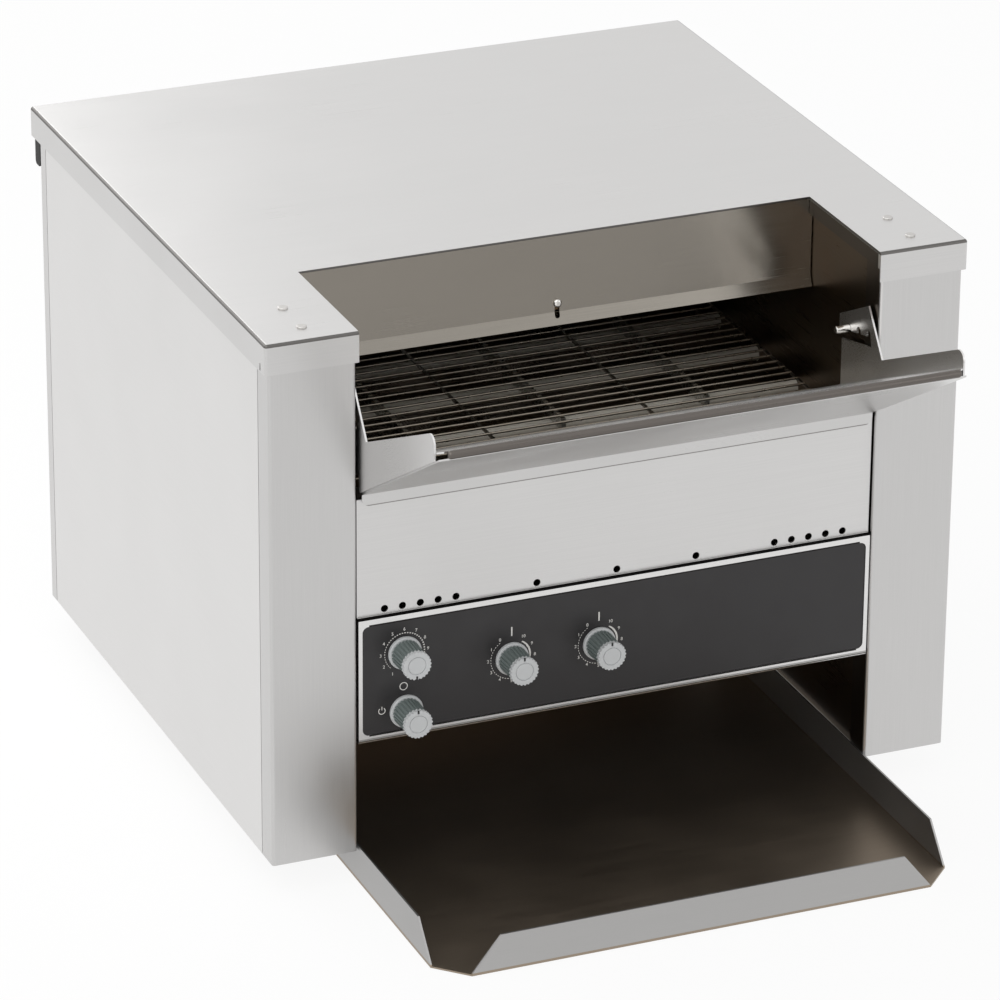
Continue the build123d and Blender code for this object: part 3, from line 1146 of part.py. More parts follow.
# ------------------------------------------------------------------------ build
def build():
    """Every node by name, in the columns' frame."""
    chain_end = X_CHAIN + CHAIN_WHEEL_WIDTH / 2 + 2
    idler_end = WALL_OUT + BUSH_FLANGE + 4
    nodes = {
        "left_front_column": mirrored(front_column()),
        "right_front_column": front_column(),
        "left_side_panel": mirrored(side_panel()),
        "right_side_panel": side_panel(),
        "left_bottom_plate": mirrored(bottom_plate()),
        "right_bottom_plate": bottom_plate(),
        "left_inner_wall": inner_wall(False),
        "right_inner_wall": inner_wall(True),
        "rear_panel": rear_panel(),
        "rear_screws": rear_screws(),
        "lid": lid(),
        "lid_rivets": lid_rivets(),
        "rear_deflector": rear_deflector(),
        "deflector_screw": deflector_screw(),
        "front_panel": front_panel(),
        "front_cross_member": cross_member(),
        "control_bezel": control_bezel(),
        "control_fascia": control_fascia(),
        "control_bay": control_bay(),
        "feet": feet(),
        "rear_bumpers": rear_bumpers(),
        "upper_heater_tubes": heater_tubes(heater_places()[:UPPER_HEATERS]),
        "heater_holders": heater_holders(heater_places()),
        "lower_heater_tubes": heater_tubes(lower_heater_places()),
        "upper_reflector": upper_reflector(),
        "lower_reflector": lower_reflector(),
        "belt_rails": belt_rails(),
        "limit_thermostat": thermostat(),
        "conveyor_belt": conveyor_belt(),
        "front_belt_shaft": belt_shaft(Y_FRONT_SHAFT, idler_end),
        "front_belt_wheels": belt_wheels(Y_FRONT_SHAFT),
        "rear_belt_shaft": belt_shaft(Y_REAR_SHAFT, chain_end),
        "rear_belt_wheels": belt_wheels(Y_REAR_SHAFT),
        "shaft_bushes": shaft_bushes(),
        "driven_chain_wheel": chain_wheel(Z_SHAFT, SHAFT_RADIUS + RUNNING),
        "drive_chain": drive_chain(),
        "motor_chain_wheel": motor_chain_wheel(),
        "gear_motor": gear_motor(),
        "motor_standoffs": motor_standoffs(),
        "chute_pan": chute_pan(),
        "chute_apron": chute_apron(),
        "chute_pins": chute_pins(),
        "discharge_ramp": discharge_ramp(),
        "discharge_tray": discharge_tray(),
        "speed_unit": speed_unit(),
        "power_switch": block_unit("power", SWITCH_SIZE, SWITCH_DEPTH),
        "top_heat_unit": block_unit("top_heat", HEAT_UNIT_SIZE, HEAT_UNIT_DEPTH),
        "bottom_heat_unit": block_unit("bottom_heat", HEAT_UNIT_SIZE, HEAT_UNIT_DEPTH),
        "fan_frame": fan_frame(),
        "fan_rotor": fan_rotor(),
        "cord_inlet": cord_inlet(),
        "terminal_block": terminal_block(),
    }
    for name in KNOB_PLACES:
        nodes[name + "_knob"] = knob(name) + spindle(name)
        nodes[name + "_knob_cap"] = knob_cap(name)
    return nodes


def main():
    os.makedirs("parts", exist_ok=True)
    for name, part in build().items():
        export_step(Pos(0, Y_SHIFT, 0) * part, os.path.join("parts", name + ".step"))


if __name__ == "__main__":
    main()
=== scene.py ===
"""Dresses a counter-top conveyor toaster and sets it on a pale stage."""

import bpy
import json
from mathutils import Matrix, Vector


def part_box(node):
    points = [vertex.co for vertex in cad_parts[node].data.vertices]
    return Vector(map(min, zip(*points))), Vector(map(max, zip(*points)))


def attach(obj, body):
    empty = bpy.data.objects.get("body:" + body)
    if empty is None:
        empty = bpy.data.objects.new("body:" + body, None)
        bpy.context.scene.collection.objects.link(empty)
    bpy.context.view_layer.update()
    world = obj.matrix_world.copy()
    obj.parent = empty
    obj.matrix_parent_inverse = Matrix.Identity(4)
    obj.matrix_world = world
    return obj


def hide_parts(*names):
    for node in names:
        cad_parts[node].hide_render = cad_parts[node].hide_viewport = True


bl_info = {
    "name": "Conveyor Toaster",
    "version": (1, 0, 0),
    "blender": (4, 5, 0),
    "location": "3D View > Sidebar > Toaster",
    "description": "Finishes, dials and knobs of a counter-top conveyor toaster, and its stage",
    "category": "Object",
}

import json
import math

import bpy
from bpy.props import FloatProperty, FloatVectorProperty, IntProperty, PointerProperty
from mathutils import Matrix, Vector

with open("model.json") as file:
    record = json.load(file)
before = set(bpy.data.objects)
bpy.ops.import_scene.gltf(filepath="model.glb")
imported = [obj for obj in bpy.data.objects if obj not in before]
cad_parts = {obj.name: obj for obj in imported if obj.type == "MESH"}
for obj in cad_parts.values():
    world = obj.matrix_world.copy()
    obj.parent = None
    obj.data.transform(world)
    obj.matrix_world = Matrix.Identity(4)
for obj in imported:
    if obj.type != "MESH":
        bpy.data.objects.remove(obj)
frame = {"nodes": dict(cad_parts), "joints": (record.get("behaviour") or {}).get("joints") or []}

MM = 0.001
FASCIA_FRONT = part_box("control_fascia")[0][1]
KNOB_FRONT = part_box("speed_knob_cap")[0][1]
DIAL_CENTRES = {joint["name"][:-len("_turn")]: (joint["pos_m"][0], joint["pos_m"][2])
                for joint in frame["joints"] if joint["child"].endswith("_control")}


def linear(hex_colour):
    """Linear RGB of an sRGB hex value."""
    channels = (int(hex_colour[i:i + 2], 16) / 255 for i in (1, 3, 5))
    return tuple(c / 12.92 if c <= 0.04045 else ((c + 0.055) / 1.055) ** 2.4 for c in channels)


def tinted(colour, shade):
    """A colour made lighter or darker, and never brighter than white."""
    return tuple(min(channel * shade, 1.0) for channel in colour)


def rgba(colour, shade=1.0):
    """A colour with its alpha, as a shader's socket takes it."""
    return (colour[0] * shade, colour[1] * shade, colour[2] * shade, 1.0)


# ------------------------------------------------------------------ user values
def colour_property(name, hex_colour, description):
    """A finish's colour, given as sRGB."""
    return FloatVectorProperty(name=name, subtype="COLOR", size=3, min=0.0, max=1.0,
                               default=linear(hex_colour), description=description)


def length_property(name, millimetres, description):
    """A length, given in millimetres."""
    return FloatProperty(name=name, default=millimetres * MM, min=0.0, unit="LENGTH",
                         subtype="DISTANCE", description=description)


class ToasterFinishes(bpy.types.PropertyGroup):
    """Colours of the finishes and the size of the brushed grain"""
    sheet: colour_property("Sheet", "#d6d5d4", "Brushed stainless sheet of the housing")
    oven: colour_property("Oven sheet", "#584a39", "Heat-tinted sheet inside the oven")
    tray: colour_property("Tray sheet", "#acabaa", "Brushed sheet of the tray")
    fascia: colour_property("Fascia", "#262425", "Printed overlay of the control panel")
    knob_body: colour_property("Knob body", "#7a8482", "Ribbed grip of the knobs")
    knob_cap: colour_property("Knob cap", "#cfd1d2", "Cap and base ring of the knobs")
    ink: colour_property("Ink", "#eceae6", "Screen-printed scales and numbers")
    grain: length_property("Grain pitch", 0.7, "Spacing of the brushing scratches")
    grain_length: length_property("Grain length", 60.0, "Length of the brushing scratches")


class ToasterDials(bpy.types.PropertyGroup):
    """Sizes of the scales and numbers round the dials"""
    numeral_radius: length_property("Numeral radius", 15.8, "From the dial's axis to its numbers")
    numeral_height: length_property("Numeral height", 3.0, "Text size of the numbers")
    scale_radius: length_property("Scale radius", 12.9, "Inner edge of the dashed scale")
    ink_thickness: length_property("Ink thickness", 0.06, "How far the print stands proud")
    bar_length: length_property("Bar length", 6.2, "Off mark above each heat dial")
    bar_width: length_property("Bar width", 0.9, "Off mark's width")


class ToasterKnobs(bpy.types.PropertyGroup):
    """Ribs and teeth of the four knobs"""
    ribs: IntProperty(name="Ribs", default=24, min=8, max=60,
                      description="Ribs round the grip of each knob")
    teeth: IntProperty(name="Cap teeth", default=24, min=8, max=60,
                       description="Teeth round each knob's cap")
    rib_depth: length_property("Rib depth", 0.7, "Depth of the grooves between the ribs")


class ToasterStage(bpy.types.PropertyGroup):
    """Strength of the lamps and the sky"""
    key: FloatProperty(name="Key light", default=50.0, min=0.0, unit="POWER",
                       description="Large soft light from the upper left")
    back: FloatProperty(name="Back light", default=8.5, min=0.0, unit="POWER",
                        description="Soft light behind, which the lid mirrors on its left")
    fill: FloatProperty(name="Fill light", default=3.0, min=0.0, unit="POWER",
                        description="Soft light from the front right")
    pool: FloatProperty(name="Floor light", default=0.8, min=0.0, unit="POWER",
                        description="Pool of light on the floor that the left side mirrors")
    world: FloatProperty(name="Sky", default=0.55, min=0.0,
                         description="Strength of the even light all round")


# -------------------------------------------------------------------- materials
MIX_A, MIX_B, MIX_RESULT = 6, 7, 2      # sockets of a Mix node that mixes colours
CLOUD_SIZE = 80 * MM                    # slow clouding of a brushed sheet
STAIN_SIZE = 45 * MM                    # patches of heat stain
SCRATCH_DEPTH = 0.02 * MM
SPOT_SIZE = 3 * MM                      # dull spots on bright steel
WEAR_SIZE = 12 * MM                     # patches where plastic is rubbed smoother
GRIT_DEPTH = 0.03 * MM
WHITE = (1.0, 1.0, 1.0, 1.0)


def add_node(tree, kind, values=None, links=None, **settings):
    """Adds a shader node with its settings, socket values and incoming links."""
    node = tree.nodes.new("ShaderNode" + kind)
    for name, value in settings.items():
        setattr(node, name, value)
    for socket, value in (values or {}).items():
        node.inputs[socket].default_value = value
    for socket, source in (links or {}).items():
        tree.links.new(source, node.inputs[socket])
    return node


def new_material(name):
    """An empty node material and its tree."""
    material = bpy.data.materials.new(name)
    material.use_nodes = True
    material.node_tree.nodes.clear()
    return material, material.node_tree


def finish_tree(tree, values, links):
    """Ends a tree in a Principled shader."""
    shader = add_node(tree, "BsdfPrincipled", values, links)
    add_node(tree, "OutputMaterial", links={"Surface": shader.outputs["BSDF"]})


def inside(tree, axes, limits):
    """1 where the object coordinates lie between their limits, otherwise 0."""
    mask = None
    for axis, low, high in limits:
        for limit, operation in ((low, "GREATER_THAN"), (high, "LESS_THAN")):
            test = add_node(tree, "Math", {1: limit}, {0: axes[axis]},
                            operation=operation).outputs[0]
            mask = test if mask is None else add_node(
                tree, "Math", links={0: mask, 1: test}, operation="MULTIPLY").outputs[0]
    return mask


def brushed_steel(name, colour, grain, roughness, relief=0.25, stain=None, zones=()):
    """Cold-rolled stainless sheet brushed along one axis.

    Long fine scratches smear reflections across the grain and leave a soft satin look; slow
    clouding keeps a large face from looking like plastic. A zone is a colour and the limits, along
    named axes, between which it is painted on the sheet; the zones paint shade, shadows, highlights
    and reflections.
    """
    finishes = bpy.context.scene.toaster_finishes
    material, tree = new_material(name)
    coords = add_node(tree, "TexCoord").outputs["Object"]
    # The real scratches are about 0.1 mm apart; they are drawn coarser so that they show.
    pitch = [1 / finishes.grain] * 3
    pitch["XYZ".index(grain)] = 1 / finishes.grain_length
    along = add_node(tree, "Mapping", {"Scale": pitch}, {"Vector": coords})
    scratches = add_node(tree, "TexNoise", {"Scale": 1.0, "Detail": 3.0, "Roughness": 0.62},
                         {"Vector": along.outputs["Vector"]}).outputs["Fac"]
    clouds = add_node(tree, "TexNoise", {"Scale": 1 / CLOUD_SIZE, "Detail": 2.0},
                      {"Vector": coords}).outputs["Fac"]
    fine = add_node(tree, "MapRange", {"From Min": 0.25, "From Max": 0.75,
                                       "To Min": roughness - 0.05, "To Max": roughness + 0.05},
                    {"Value": scratches}).outputs["Result"]
    slow = add_node(tree, "MapRange", {"From Min": 0.3, "From Max": 0.7,
                                       "To Min": -0.03, "To Max": 0.03},
                    {"Value": clouds}).outputs["Result"]
    rough = add_node(tree, "Math", links={0: fine, 1: slow}, operation="ADD").outputs[0]
    tone = add_node(tree, "Mix", {MIX_A: rgba(colour, 0.93), MIX_B: rgba(colour, 1.05)},
                    {0: scratches}, data_type="RGBA").outputs[MIX_RESULT]
    if stain:
        patches = add_node(tree, "TexNoise", {"Scale": 1 / STAIN_SIZE, "Detail": 4.0},
                           {"Vector": coords}).outputs["Fac"]
        amount = add_node(tree, "MapRange", {"From Min": 0.42, "From Max": 0.68,
                                             "To Min": 0.0, "To Max": 0.75},
                          {"Value": patches}).outputs["Result"]
        tone = add_node(tree, "Mix", {MIX_B: rgba(stain)}, {0: amount, MIX_A: tone},
                        data_type="RGBA").outputs[MIX_RESULT]
    if zones:
        axes = add_node(tree, "SeparateXYZ", links={"Vector": coords}).outputs
        for shade, limits in zones:
            tone = add_node(tree, "Mix", {MIX_B: rgba(linear(shade))},
                            {0: inside(tree, axes, limits), MIX_A: tone},
                            data_type="RGBA").outputs[MIX_RESULT]
    bump = add_node(tree, "Bump", {"Strength": relief, "Distance": SCRATCH_DEPTH},
                    {"Height": scratches})
    finish_tree(tree, {"Metallic": 1.0},
                {"Base Color": tone, "Roughness": rough, "Normal": bump.outputs["Normal"]})
    return material


def turned_steel(name, hex_colour, roughness):
    """Turned, drawn or plated metal: small dull spots break up its sharp reflections."""
    material, tree = new_material(name)
    coords = add_node(tree, "TexCoord").outputs["Object"]
    spots = add_node(tree, "TexNoise", {"Scale": 1 / SPOT_SIZE, "Detail": 3.0},
                     {"Vector": coords}).outputs["Fac"]
    rough = add_node(tree, "MapRange", {"From Min": 0.3, "From Max": 0.7,
                                        "To Min": roughness - 0.06, "To Max": roughness + 0.1},
                     {"Value": spots}).outputs["Result"]
    colour = linear(hex_colour)
    tone = add_node(tree, "Mix", {MIX_A: rgba(colour, 0.85), MIX_B: rgba(colour, 1.05)},
                    {0: spots}, data_type="RGBA").outputs[MIX_RESULT]
    finish_tree(tree, {"Metallic": 1.0}, {"Base Color": tone, "Roughness": rough})
    return material


def moulded(name, colour, roughness, pit=0.35, relief=0.2, specular=0.5):
    """Moulded plastic or rubber: spark-eroded texture, which breaks up the highlight."""
    material, tree = new_material(name)
    coords = add_node(tree, "TexCoord").outputs["Object"]
    grit = add_node(tree, "TexNoise", {"Scale": 1 / (pit * MM), "Detail": 2.0},
                    {"Vector": coords}).outputs["Fac"]
    wear = add_node(tree, "TexNoise", {"Scale": 1 / WEAR_SIZE, "Detail": 2.0},
                    {"Vector": coords}).outputs["Fac"]
    rough = add_node(tree, "MapRange", {"From Min": 0.3, "From Max": 0.7,
                                        "To Min": roughness - 0.06, "To Max": roughness + 0.06},
                     {"Value": wear}).outputs["Result"]
    tone = add_node(tree, "Mix", {MIX_A: rgba(colour, 0.92), MIX_B: rgba(colour, 1.06)},
                    {0: wear}, data_type="RGBA").outputs[MIX_RESULT]
    bump = add_node(tree, "Bump", {"Strength": relief, "Distance": GRIT_DEPTH}, {"Height": grit})
    finish_tree(tree, {"Specular IOR Level": specular},
                {"Base Color": tone, "Roughness": rough, "Normal": bump.outputs["Normal"]})
    return material


def dress(material, *nodes):
    """Gives the finish to CAD nodes."""
    for name in nodes:
        for slot in frame["nodes"][name].material_slots:
            slot.material = material


# --------------------------------------------------------------------- modelling
def deselect_all():
    """Leaves edit mode and deselects all, before the next primitive is added."""
    if bpy.context.object and bpy.context.object.mode != "OBJECT":
        bpy.ops.object.mode_set(mode="OBJECT")
    bpy.ops.object.select_all(action="DESELECT")


def pick(piece, test, kind="faces"):
    """Selects, in edit mode, the elements of a piece for which the test holds."""
    bpy.ops.object.mode_set(mode="EDIT")
    bpy.ops.mesh.select_mode(type={"faces": "FACE", "edges": "EDGE", "verts": "VERT"}[kind])
    bpy.ops.mesh.select_all(action="DESELECT")
    bpy.ops.object.mode_set(mode="OBJECT")
    mesh = piece.data
    items = {"faces": mesh.polygons, "edges": mesh.edges, "verts": mesh.vertices}[kind]
    for item in items:
        if kind == "faces":
            place = item.center
        elif kind == "edges":
            place = (mesh.vertices[item.vertices[0]].co + mesh.vertices[item.vertices[1]].co) / 2
        else:
            place = item.co
        item.select = test(item, place)
    bpy.ops.object.mode_set(mode="EDIT")


def settle(piece, name, material, body, slot, *replaced):
    """Names a finished piece, puts its place in its mesh and hangs it on its body."""
    bpy.ops.object.mode_set(mode="OBJECT")
    bpy.ops.object.select_all(action="DESELECT")
    piece.select_set(True)
    bpy.context.view_layer.objects.active = piece
    bpy.ops.object.transform_apply(location=True, rotation=True, scale=True)
    piece.name = name
    piece.data.name = name
    piece.data.materials.clear()
    piece.data.materials.append(material)
    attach(piece, body)
    if replaced:
        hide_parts(*replaced)
    return piece


def join_all(pieces):
    """One object of several meshes."""
    bpy.ops.object.select_all(action="DESELECT")
    for piece in pieces:
        piece.select_set(True)
    bpy.context.view_layer.objects.active = pieces[0]
    if len(pieces) > 1:
        bpy.ops.object.join()
    return pieces[0]


FRONTWARDS = (math.pi / 2, 0.0, 0.0)      # turns a primitive's +Z to the front, -Y
SCALE_SEGMENTS = 96
SYMBOL_SEGMENTS = 48
DASH_TURN = 360 / SCALE_SEGMENTS          # degrees, one dash or one gap of a scale
NUMBER_TURN = 30                          # degrees from one number to the next
BOLDER = 0.006                            # of a number's height, added round its strokes
BAR_ROUNDING = 0.3                        # of a bar's width


def printed_ring(centre, inner, outer, keep, width=None, segments=SCALE_SEGMENTS):
    """Flat ring round a dial's axis, kept where the clockwise angle passes a test.

    Where a width is given, it makes the ring that wide at each clockwise angle.
    """
    x, z = centre
    thickness = bpy.context.scene.toaster_dials.ink_thickness
    deselect_all()
    bpy.ops.mesh.primitive_circle_add(vertices=segments, radius=inner, fill_type="NOTHING",
                                      location=(x, FASCIA_FRONT, z), rotation=FRONTWARDS)
    ring = bpy.context.object
    bpy.ops.object.transform_apply(location=True, rotation=True, scale=True)
    bpy.ops.object.mode_set(mode="EDIT")
    bpy.ops.mesh.select_all(action="SELECT")
    bpy.ops.mesh.extrude_edges_move()
    grow = outer / inner
    bpy.ops.transform.resize(value=(grow, 1.0, grow), center_override=(x, FASCIA_FRONT, z))
    bpy.ops.object.mode_set(mode="OBJECT")

    def angle(place):
        return math.degrees(math.atan2(place.x - x, place.z - z)) % 360

    if width:
        for vertex in ring.data.vertices:
            reach = math.hypot(vertex.co.x - x, vertex.co.z - z)
            if reach > (inner + outer) / 2:
                new = inner + width(angle(vertex.co))
                vertex.co.x = x + (vertex.co.x - x) * new / reach
                vertex.co.z = z + (vertex.co.z - z) * new / reach
    pick(ring, lambda face, place: not keep(angle(place)))
    bpy.ops.mesh.delete(type="FACE")
    bpy.ops.mesh.select_all(action="SELECT")
    bpy.ops.mesh.extrude_region_move(TRANSFORM_OT_translate={"value": (0.0, -thickness, 0.0)})
    bpy.ops.mesh.select_all(action="SELECT")
    bpy.ops.mesh.normals_make_consistent(inside=False)
    bpy.ops.object.mode_set(mode="OBJECT")
    return ring


def printed_bar(centre, width, low, high):
    """Upright bar above a dial's axis, with rounded corners."""
    x, z = centre
    thickness = bpy.context.scene.toaster_dials.ink_thickness
    deselect_all()
    bpy.ops.mesh.primitive_plane_add(size=1.0, location=(x, FASCIA_FRONT, z + (low + high) / 2),
                                     rotation=FRONTWARDS)
    bar = bpy.context.object
    bar.scale = (width, high - low, 1.0)
    bpy.ops.object.transform_apply(location=True, rotation=True, scale=True)
    bpy.ops.object.mode_set(mode="EDIT")
    bpy.ops.mesh.select_all(action="SELECT")
    bpy.ops.mesh.bevel(offset=width * BAR_ROUNDING, segments=2, affect="VERTICES")
    bpy.ops.mesh.select_all(action="SELECT")
    bpy.ops.mesh.extrude_region_move(TRANSFORM_OT_translate={"value": (0.0, -thickness, 0.0)})
    bpy.ops.mesh.select_all(action="SELECT")
    bpy.ops.mesh.normals_make_consistent(inside=False)
    bpy.ops.object.mode_set(mode="OBJECT")
    return bar


def printed_numbers(centre, places):
    """Numbers round a dial, each upright, at a clockwise angle from the top."""
    dials = bpy.context.scene.toaster_dials
    x, z = centre
    radius = dials.numeral_radius
    pieces = []
    for number, turn in places:
        deselect_all()
        bpy.ops.object.text_add(
            radius=dials.numeral_height, rotation=FRONTWARDS,
            location=(x + radius * math.sin(math.radians(turn)), FASCIA_FRONT,
                      z + radius * math.cos(math.radians(turn))))
        text = bpy.context.object
        text.data.body = str(number)
        text.data.align_x = "CENTER"
        text.data.align_y = "CENTER"
        text.data.extrude = dials.ink_thickness / 2
        text.data.offset = BOLDER * dials.numeral_height
        text.location.y -= dials.ink_thickness / 2
        bpy.ops.object.convert(target="MESH")
        bpy.ops.object.transform_apply(location=True, rotation=True, scale=True)
        pieces.append(bpy.context.object)
    return pieces


def is_dash(turn):
    """True in every second segment of a scale."""
    return int(turn / DASH_TURN) % 2 == 0


def crescent_width(turn):
    """Width of a heat dial's crescent, fullest half-way round and thinner at its ends."""
    start, end = 20, 110            # clockwise angles, past the ends that are printed
    if start < turn < end:
        return (0.35 + 0.9 * math.sin(math.pi * (turn - start) / (end - start))) * MM
    return 0.3 * MM


# -------------------------------------------------------------------- operators
BEYOND = 1.0                    # metres, past the machine on any side
INNER_RETURN = 1.4 * MM         # a column's inner return, just past its sheet
FOLD = 1.9 * MM                 # from a face to where its folded edge, and the painted dark band on it, ends
FOLD_LIP = 0.06 * MM            # of a folded edge that is left bright like the face, out of its painted dark band
SLOT_SHADE_BELOW_TOP = 2 * MM      # from the lid's face to the painted shade inside the loading slot
WINDOW_STRAIGHT = 7.0 * MM      # from the bezel's ends to past its window's round corners


class TOASTER_OT_housing(bpy.types.Operator):
    """Brushed stainless finish on the lid, columns, sides, panels and bezel"""
    bl_idname = "toaster.housing"
    bl_label = "Finish the housing"

    def execute(self, context):
        colour = context.scene.toaster_finishes.sheet
        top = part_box("lid")[1][2]
        slot_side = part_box("right_front_column")[0][0] + INNER_RETURN
        slot_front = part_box("right_front_column")[0][1] + FOLD
        slot = (("X", -slot_side, slot_side), ("Y", slot_front, 0.0))
        # The lid and the columns are darker copies of the sheet's colour, as painted shade. The
        # lid's folded edges are painted dark grey, a painted reflection of dark surroundings;
        # inside the loading slot the lid and the columns' inner returns are painted dark brown as
        # painted shade.
        lid = brushed_steel(
            "brushed_stainless_lid", tinted(colour, 0.92), "X", 0.34, relief=0.12, zones=(
                ("#686664", (("Z", top - FOLD, top - FOLD_LIP),)),
                ("#4b443b", slot + (("Z", 0.0, top - SLOT_SHADE_BELOW_TOP),))))
        upright = brushed_steel("brushed_stainless_upright", tinted(colour, 0.86), "Z", 0.34,
                                zones=(("#4b4238", slot),))
        # Sheets are brushed across, along or upright; the front is painted a little darker and the
        # sides lighter than the sheet's colour, as painted shade and light.
        plain = brushed_steel("brushed_stainless_front", tinted(colour, 0.96), "X", 0.34)
        sides = brushed_steel("brushed_stainless_side", tinted(colour, 1.06), "Y", 0.36)
        dress(lid, "lid", "rear_panel")
        dress(plain, "front_panel")
        dress(upright, "left_front_column", "right_front_column")
        dress(sides, "left_side_panel", "right_side_panel")
        (left, _, low), (_, _, high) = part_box("control_bezel")
        side = left + WINDOW_STRAIGHT
        across = ("X", side, -side)
        # The bezel is a lighter copy of the sheet's colour, as painted light. Painted shadow lines
        # lie along the frame's top and its window, and a painted pale line over a painted dark line
        # near its foot stands in for the highlight and shade of a fold.
        bezel = brushed_steel(
            "beaded_stainless_bezel", tinted(colour, 1.1), "X", 0.3, zones=(
                ("#141313", (("Z", high - 1.4 * MM, high),)),                     # painted shadow along the top edge
                ("#2b2929", (across, ("Z", high - 5.8 * MM, high - 4.8 * MM))),   # painted shadow at the window's top
                ("#2b2929", (across, ("Z", low + 4.7 * MM, low + 5.6 * MM))),     # painted shadow at the window's foot
                ("#a5a4a2", (("Z", low + 2.1 * MM, low + 3.3 * MM),)),            # painted highlight of a fold
                ("#4a4846", (("Z", low + 1.5 * MM, low + 2.1 * MM),))))           # painted shade below it
        dress(bezel, "control_bezel")
        # Pressed heads have softer highlights than the sheet and show as small pale domes.
        dress(turned_steel("pressed_stainless_rivet", "#c9c7c4", 0.38), "lid_rivets",
              "rear_screws")
        # Rubber is dull all over, so feet and bumpers look like plain dark stops.
        rubber = moulded("moulded_black_rubber", linear("#1d1c1c"), 0.72, relief=0.3)
        dress(rubber, "feet", "rear_bumpers")
        return {"FINISHED"}


class TOASTER_OT_oven(bpy.types.Operator):
    """Heat-tinted sheet, heaters and reflectors inside the oven"""
    bl_idname = "toaster.oven"
    bl_label = "Finish the oven"

    def execute(self, context):
        finishes = context.scene.toaster_finishes
        # Stainless sheet turns straw to brown where the heaters have kept it hot.
        heated = brushed_steel("heat_tinted_stainless", finishes.oven, "Y", 0.30,
                               stain=linear("#5c4630"))
        dress(heated, "left_inner_wall", "right_inner_wall", "upper_reflector",
              "lower_reflector", "discharge_ramp")
        # Hidden sheets keep the duller finish of the mill.
        plain = brushed_steel("mill_finish_stainless", linear("#b9b5af"), "X", 0.42)
        dress(plain, "left_bottom_plate", "right_bottom_plate", "front_cross_member",
              "control_bay")
        # A smoother sheet, in which its surroundings show more clearly.
        deflector = brushed_steel("deflector_stainless", linear("#908b83"), "X", 0.22,
                                  relief=0.35)
        dress(deflector, "rear_deflector")
        # Smooth milky tube with one clear highlight along it.
        quartz = moulded("milky_quartz_glass", linear("#d8d2c6"), 0.16, relief=0.02)
        dress(quartz, "upper_heater_tubes", "lower_heater_tubes")
        # Fired and left unglazed, so it looks chalky and pale.
        steatite = moulded("fired_steatite_ceramic", linear("#d9d3c4"), 0.6, pit=0.6)
        dress(steatite, "heater_holders")
        # Sprayed castings have a coarse, half-dull skin.
        casting = moulded("die_cast_aluminium_paint", linear("#6f7072"), 0.5, pit=0.8)
        dress(casting, "gear_motor", "limit_thermostat")
        return {"FINISHED"}


class TOASTER_OT_drive(bpy.types.Operator):
    """Wire belt, shafts, wheels, chain and bushes"""
    bl_idname = "toaster.drive"
    bl_label = "Finish the belt and its drive"

    def execute(self, context):
        # Drawn wire is bright, and warm in tone from the oven's heat.
        dress(turned_steel("drawn_stainless_wire", "#8f877b", 0.3), "conveyor_belt")
        # Machined parts are bright and grey, the oiled chain is dark, sintered bronze is
        # yellow and dull, and nickel plating is the brightest of them.
        dress(turned_steel("machined_steel", "#a8a6a2", 0.26), "front_belt_shaft",
              "rear_belt_shaft", "front_belt_wheels", "rear_belt_wheels", "motor_standoffs",
              "driven_chain_wheel", "motor_chain_wheel", "belt_rails")
        dress(turned_steel("oiled_chain_steel", "#55524e", 0.32), "drive_chain")
        dress(turned_steel("sintered_bronze", "#a8834f", 0.45), "shaft_bushes")
        dress(turned_steel("nickel_plated_steel", "#d8d6d2", 0.14), "deflector_screw",
              "chute_pins")
        return {"FINISHED"}


HEM = 5.0 * MM                  # the chute's rolled hem, from its front, painted dark
APRON_STRIP = 8.6 * MM          # height of the apron's upright foot, painted darker as painted shade
DRIP_EDGE = 0.7 * MM            # the apron's lower edge, painted dark as a painted shadow line
TRAY_FLOOR = 1.8 * MM           # up to where the tray's sides begin


class TOASTER_OT_chute_and_tray(bpy.types.Operator):
    """Brushed sheet of the loading chute and the tray"""
    bl_idname = "toaster.chute_and_tray"
    bl_label = "Finish the chute and the tray"

    def execute(self, context):
        finishes = context.scene.toaster_finishes
        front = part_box("chute_pan")[0][1]
        # The chute's sheet is a lighter copy of the housing's colour, as painted light, and its
        # rolled hem is painted dark grey as a painted reflection of the dark surroundings it faces.
        chute = brushed_steel("chute_stainless", tinted(finishes.sheet, 1.1), "X", 0.30, zones=(
            ("#68635f", (("Y", front - BEYOND, front + HEM),)),))
        dress(chute, "chute_pan")
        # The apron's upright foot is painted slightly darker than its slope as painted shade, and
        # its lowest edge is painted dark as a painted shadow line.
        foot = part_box("chute_apron")[0][2]
        apron = brushed_steel("apron_stainless", finishes.sheet, "X", 0.32, zones=(
            ("#cbcac9", (("Z", foot, foot + APRON_STRIP),)),
            ("#8d8b89", (("Z", foot - BEYOND, foot + DRIP_EDGE),))))
        dress(apron, "chute_apron")
        # The tray's floor is painted browner: a painted reflection of the dark underside and toast
        # above it.
        tray = brushed_steel("tray_stainless", finishes.tray, "X", 0.42, relief=0.1, zones=(
            ("#988b7c", (("Z", -BEYOND, TRAY_FLOOR),)),))
        dress(tray, "discharge_tray")
        return {"FINISHED"}


class TOASTER_OT_controls(bpy.types.Operator):
    """Overlay of the fascia and the control units behind it"""
    bl_idname = "toaster.controls"
    bl_label = "Finish the control panel"

    def execute(self, context):
        finishes = context.scene.toaster_finishes
        # A printed plastic film with a fine texture: nearly black, with a soft highlight.
        overlay = moulded("matt_polycarbonate_overlay", finishes.fascia, 0.42, pit=0.25,
                          relief=0.12)
        dress(overlay, "control_fascia")
        # Nylon filled with glass fibre has a slightly rough, dark skin.
        black = moulded("glass_filled_nylon", linear("#232324"), 0.5, pit=0.5)
        dress(black, "speed_unit", "power_switch", "top_heat_unit", "bottom_heat_unit",
              "terminal_block", "cord_inlet", "fan_frame", "fan_rotor")
        return {"FINISHED"}


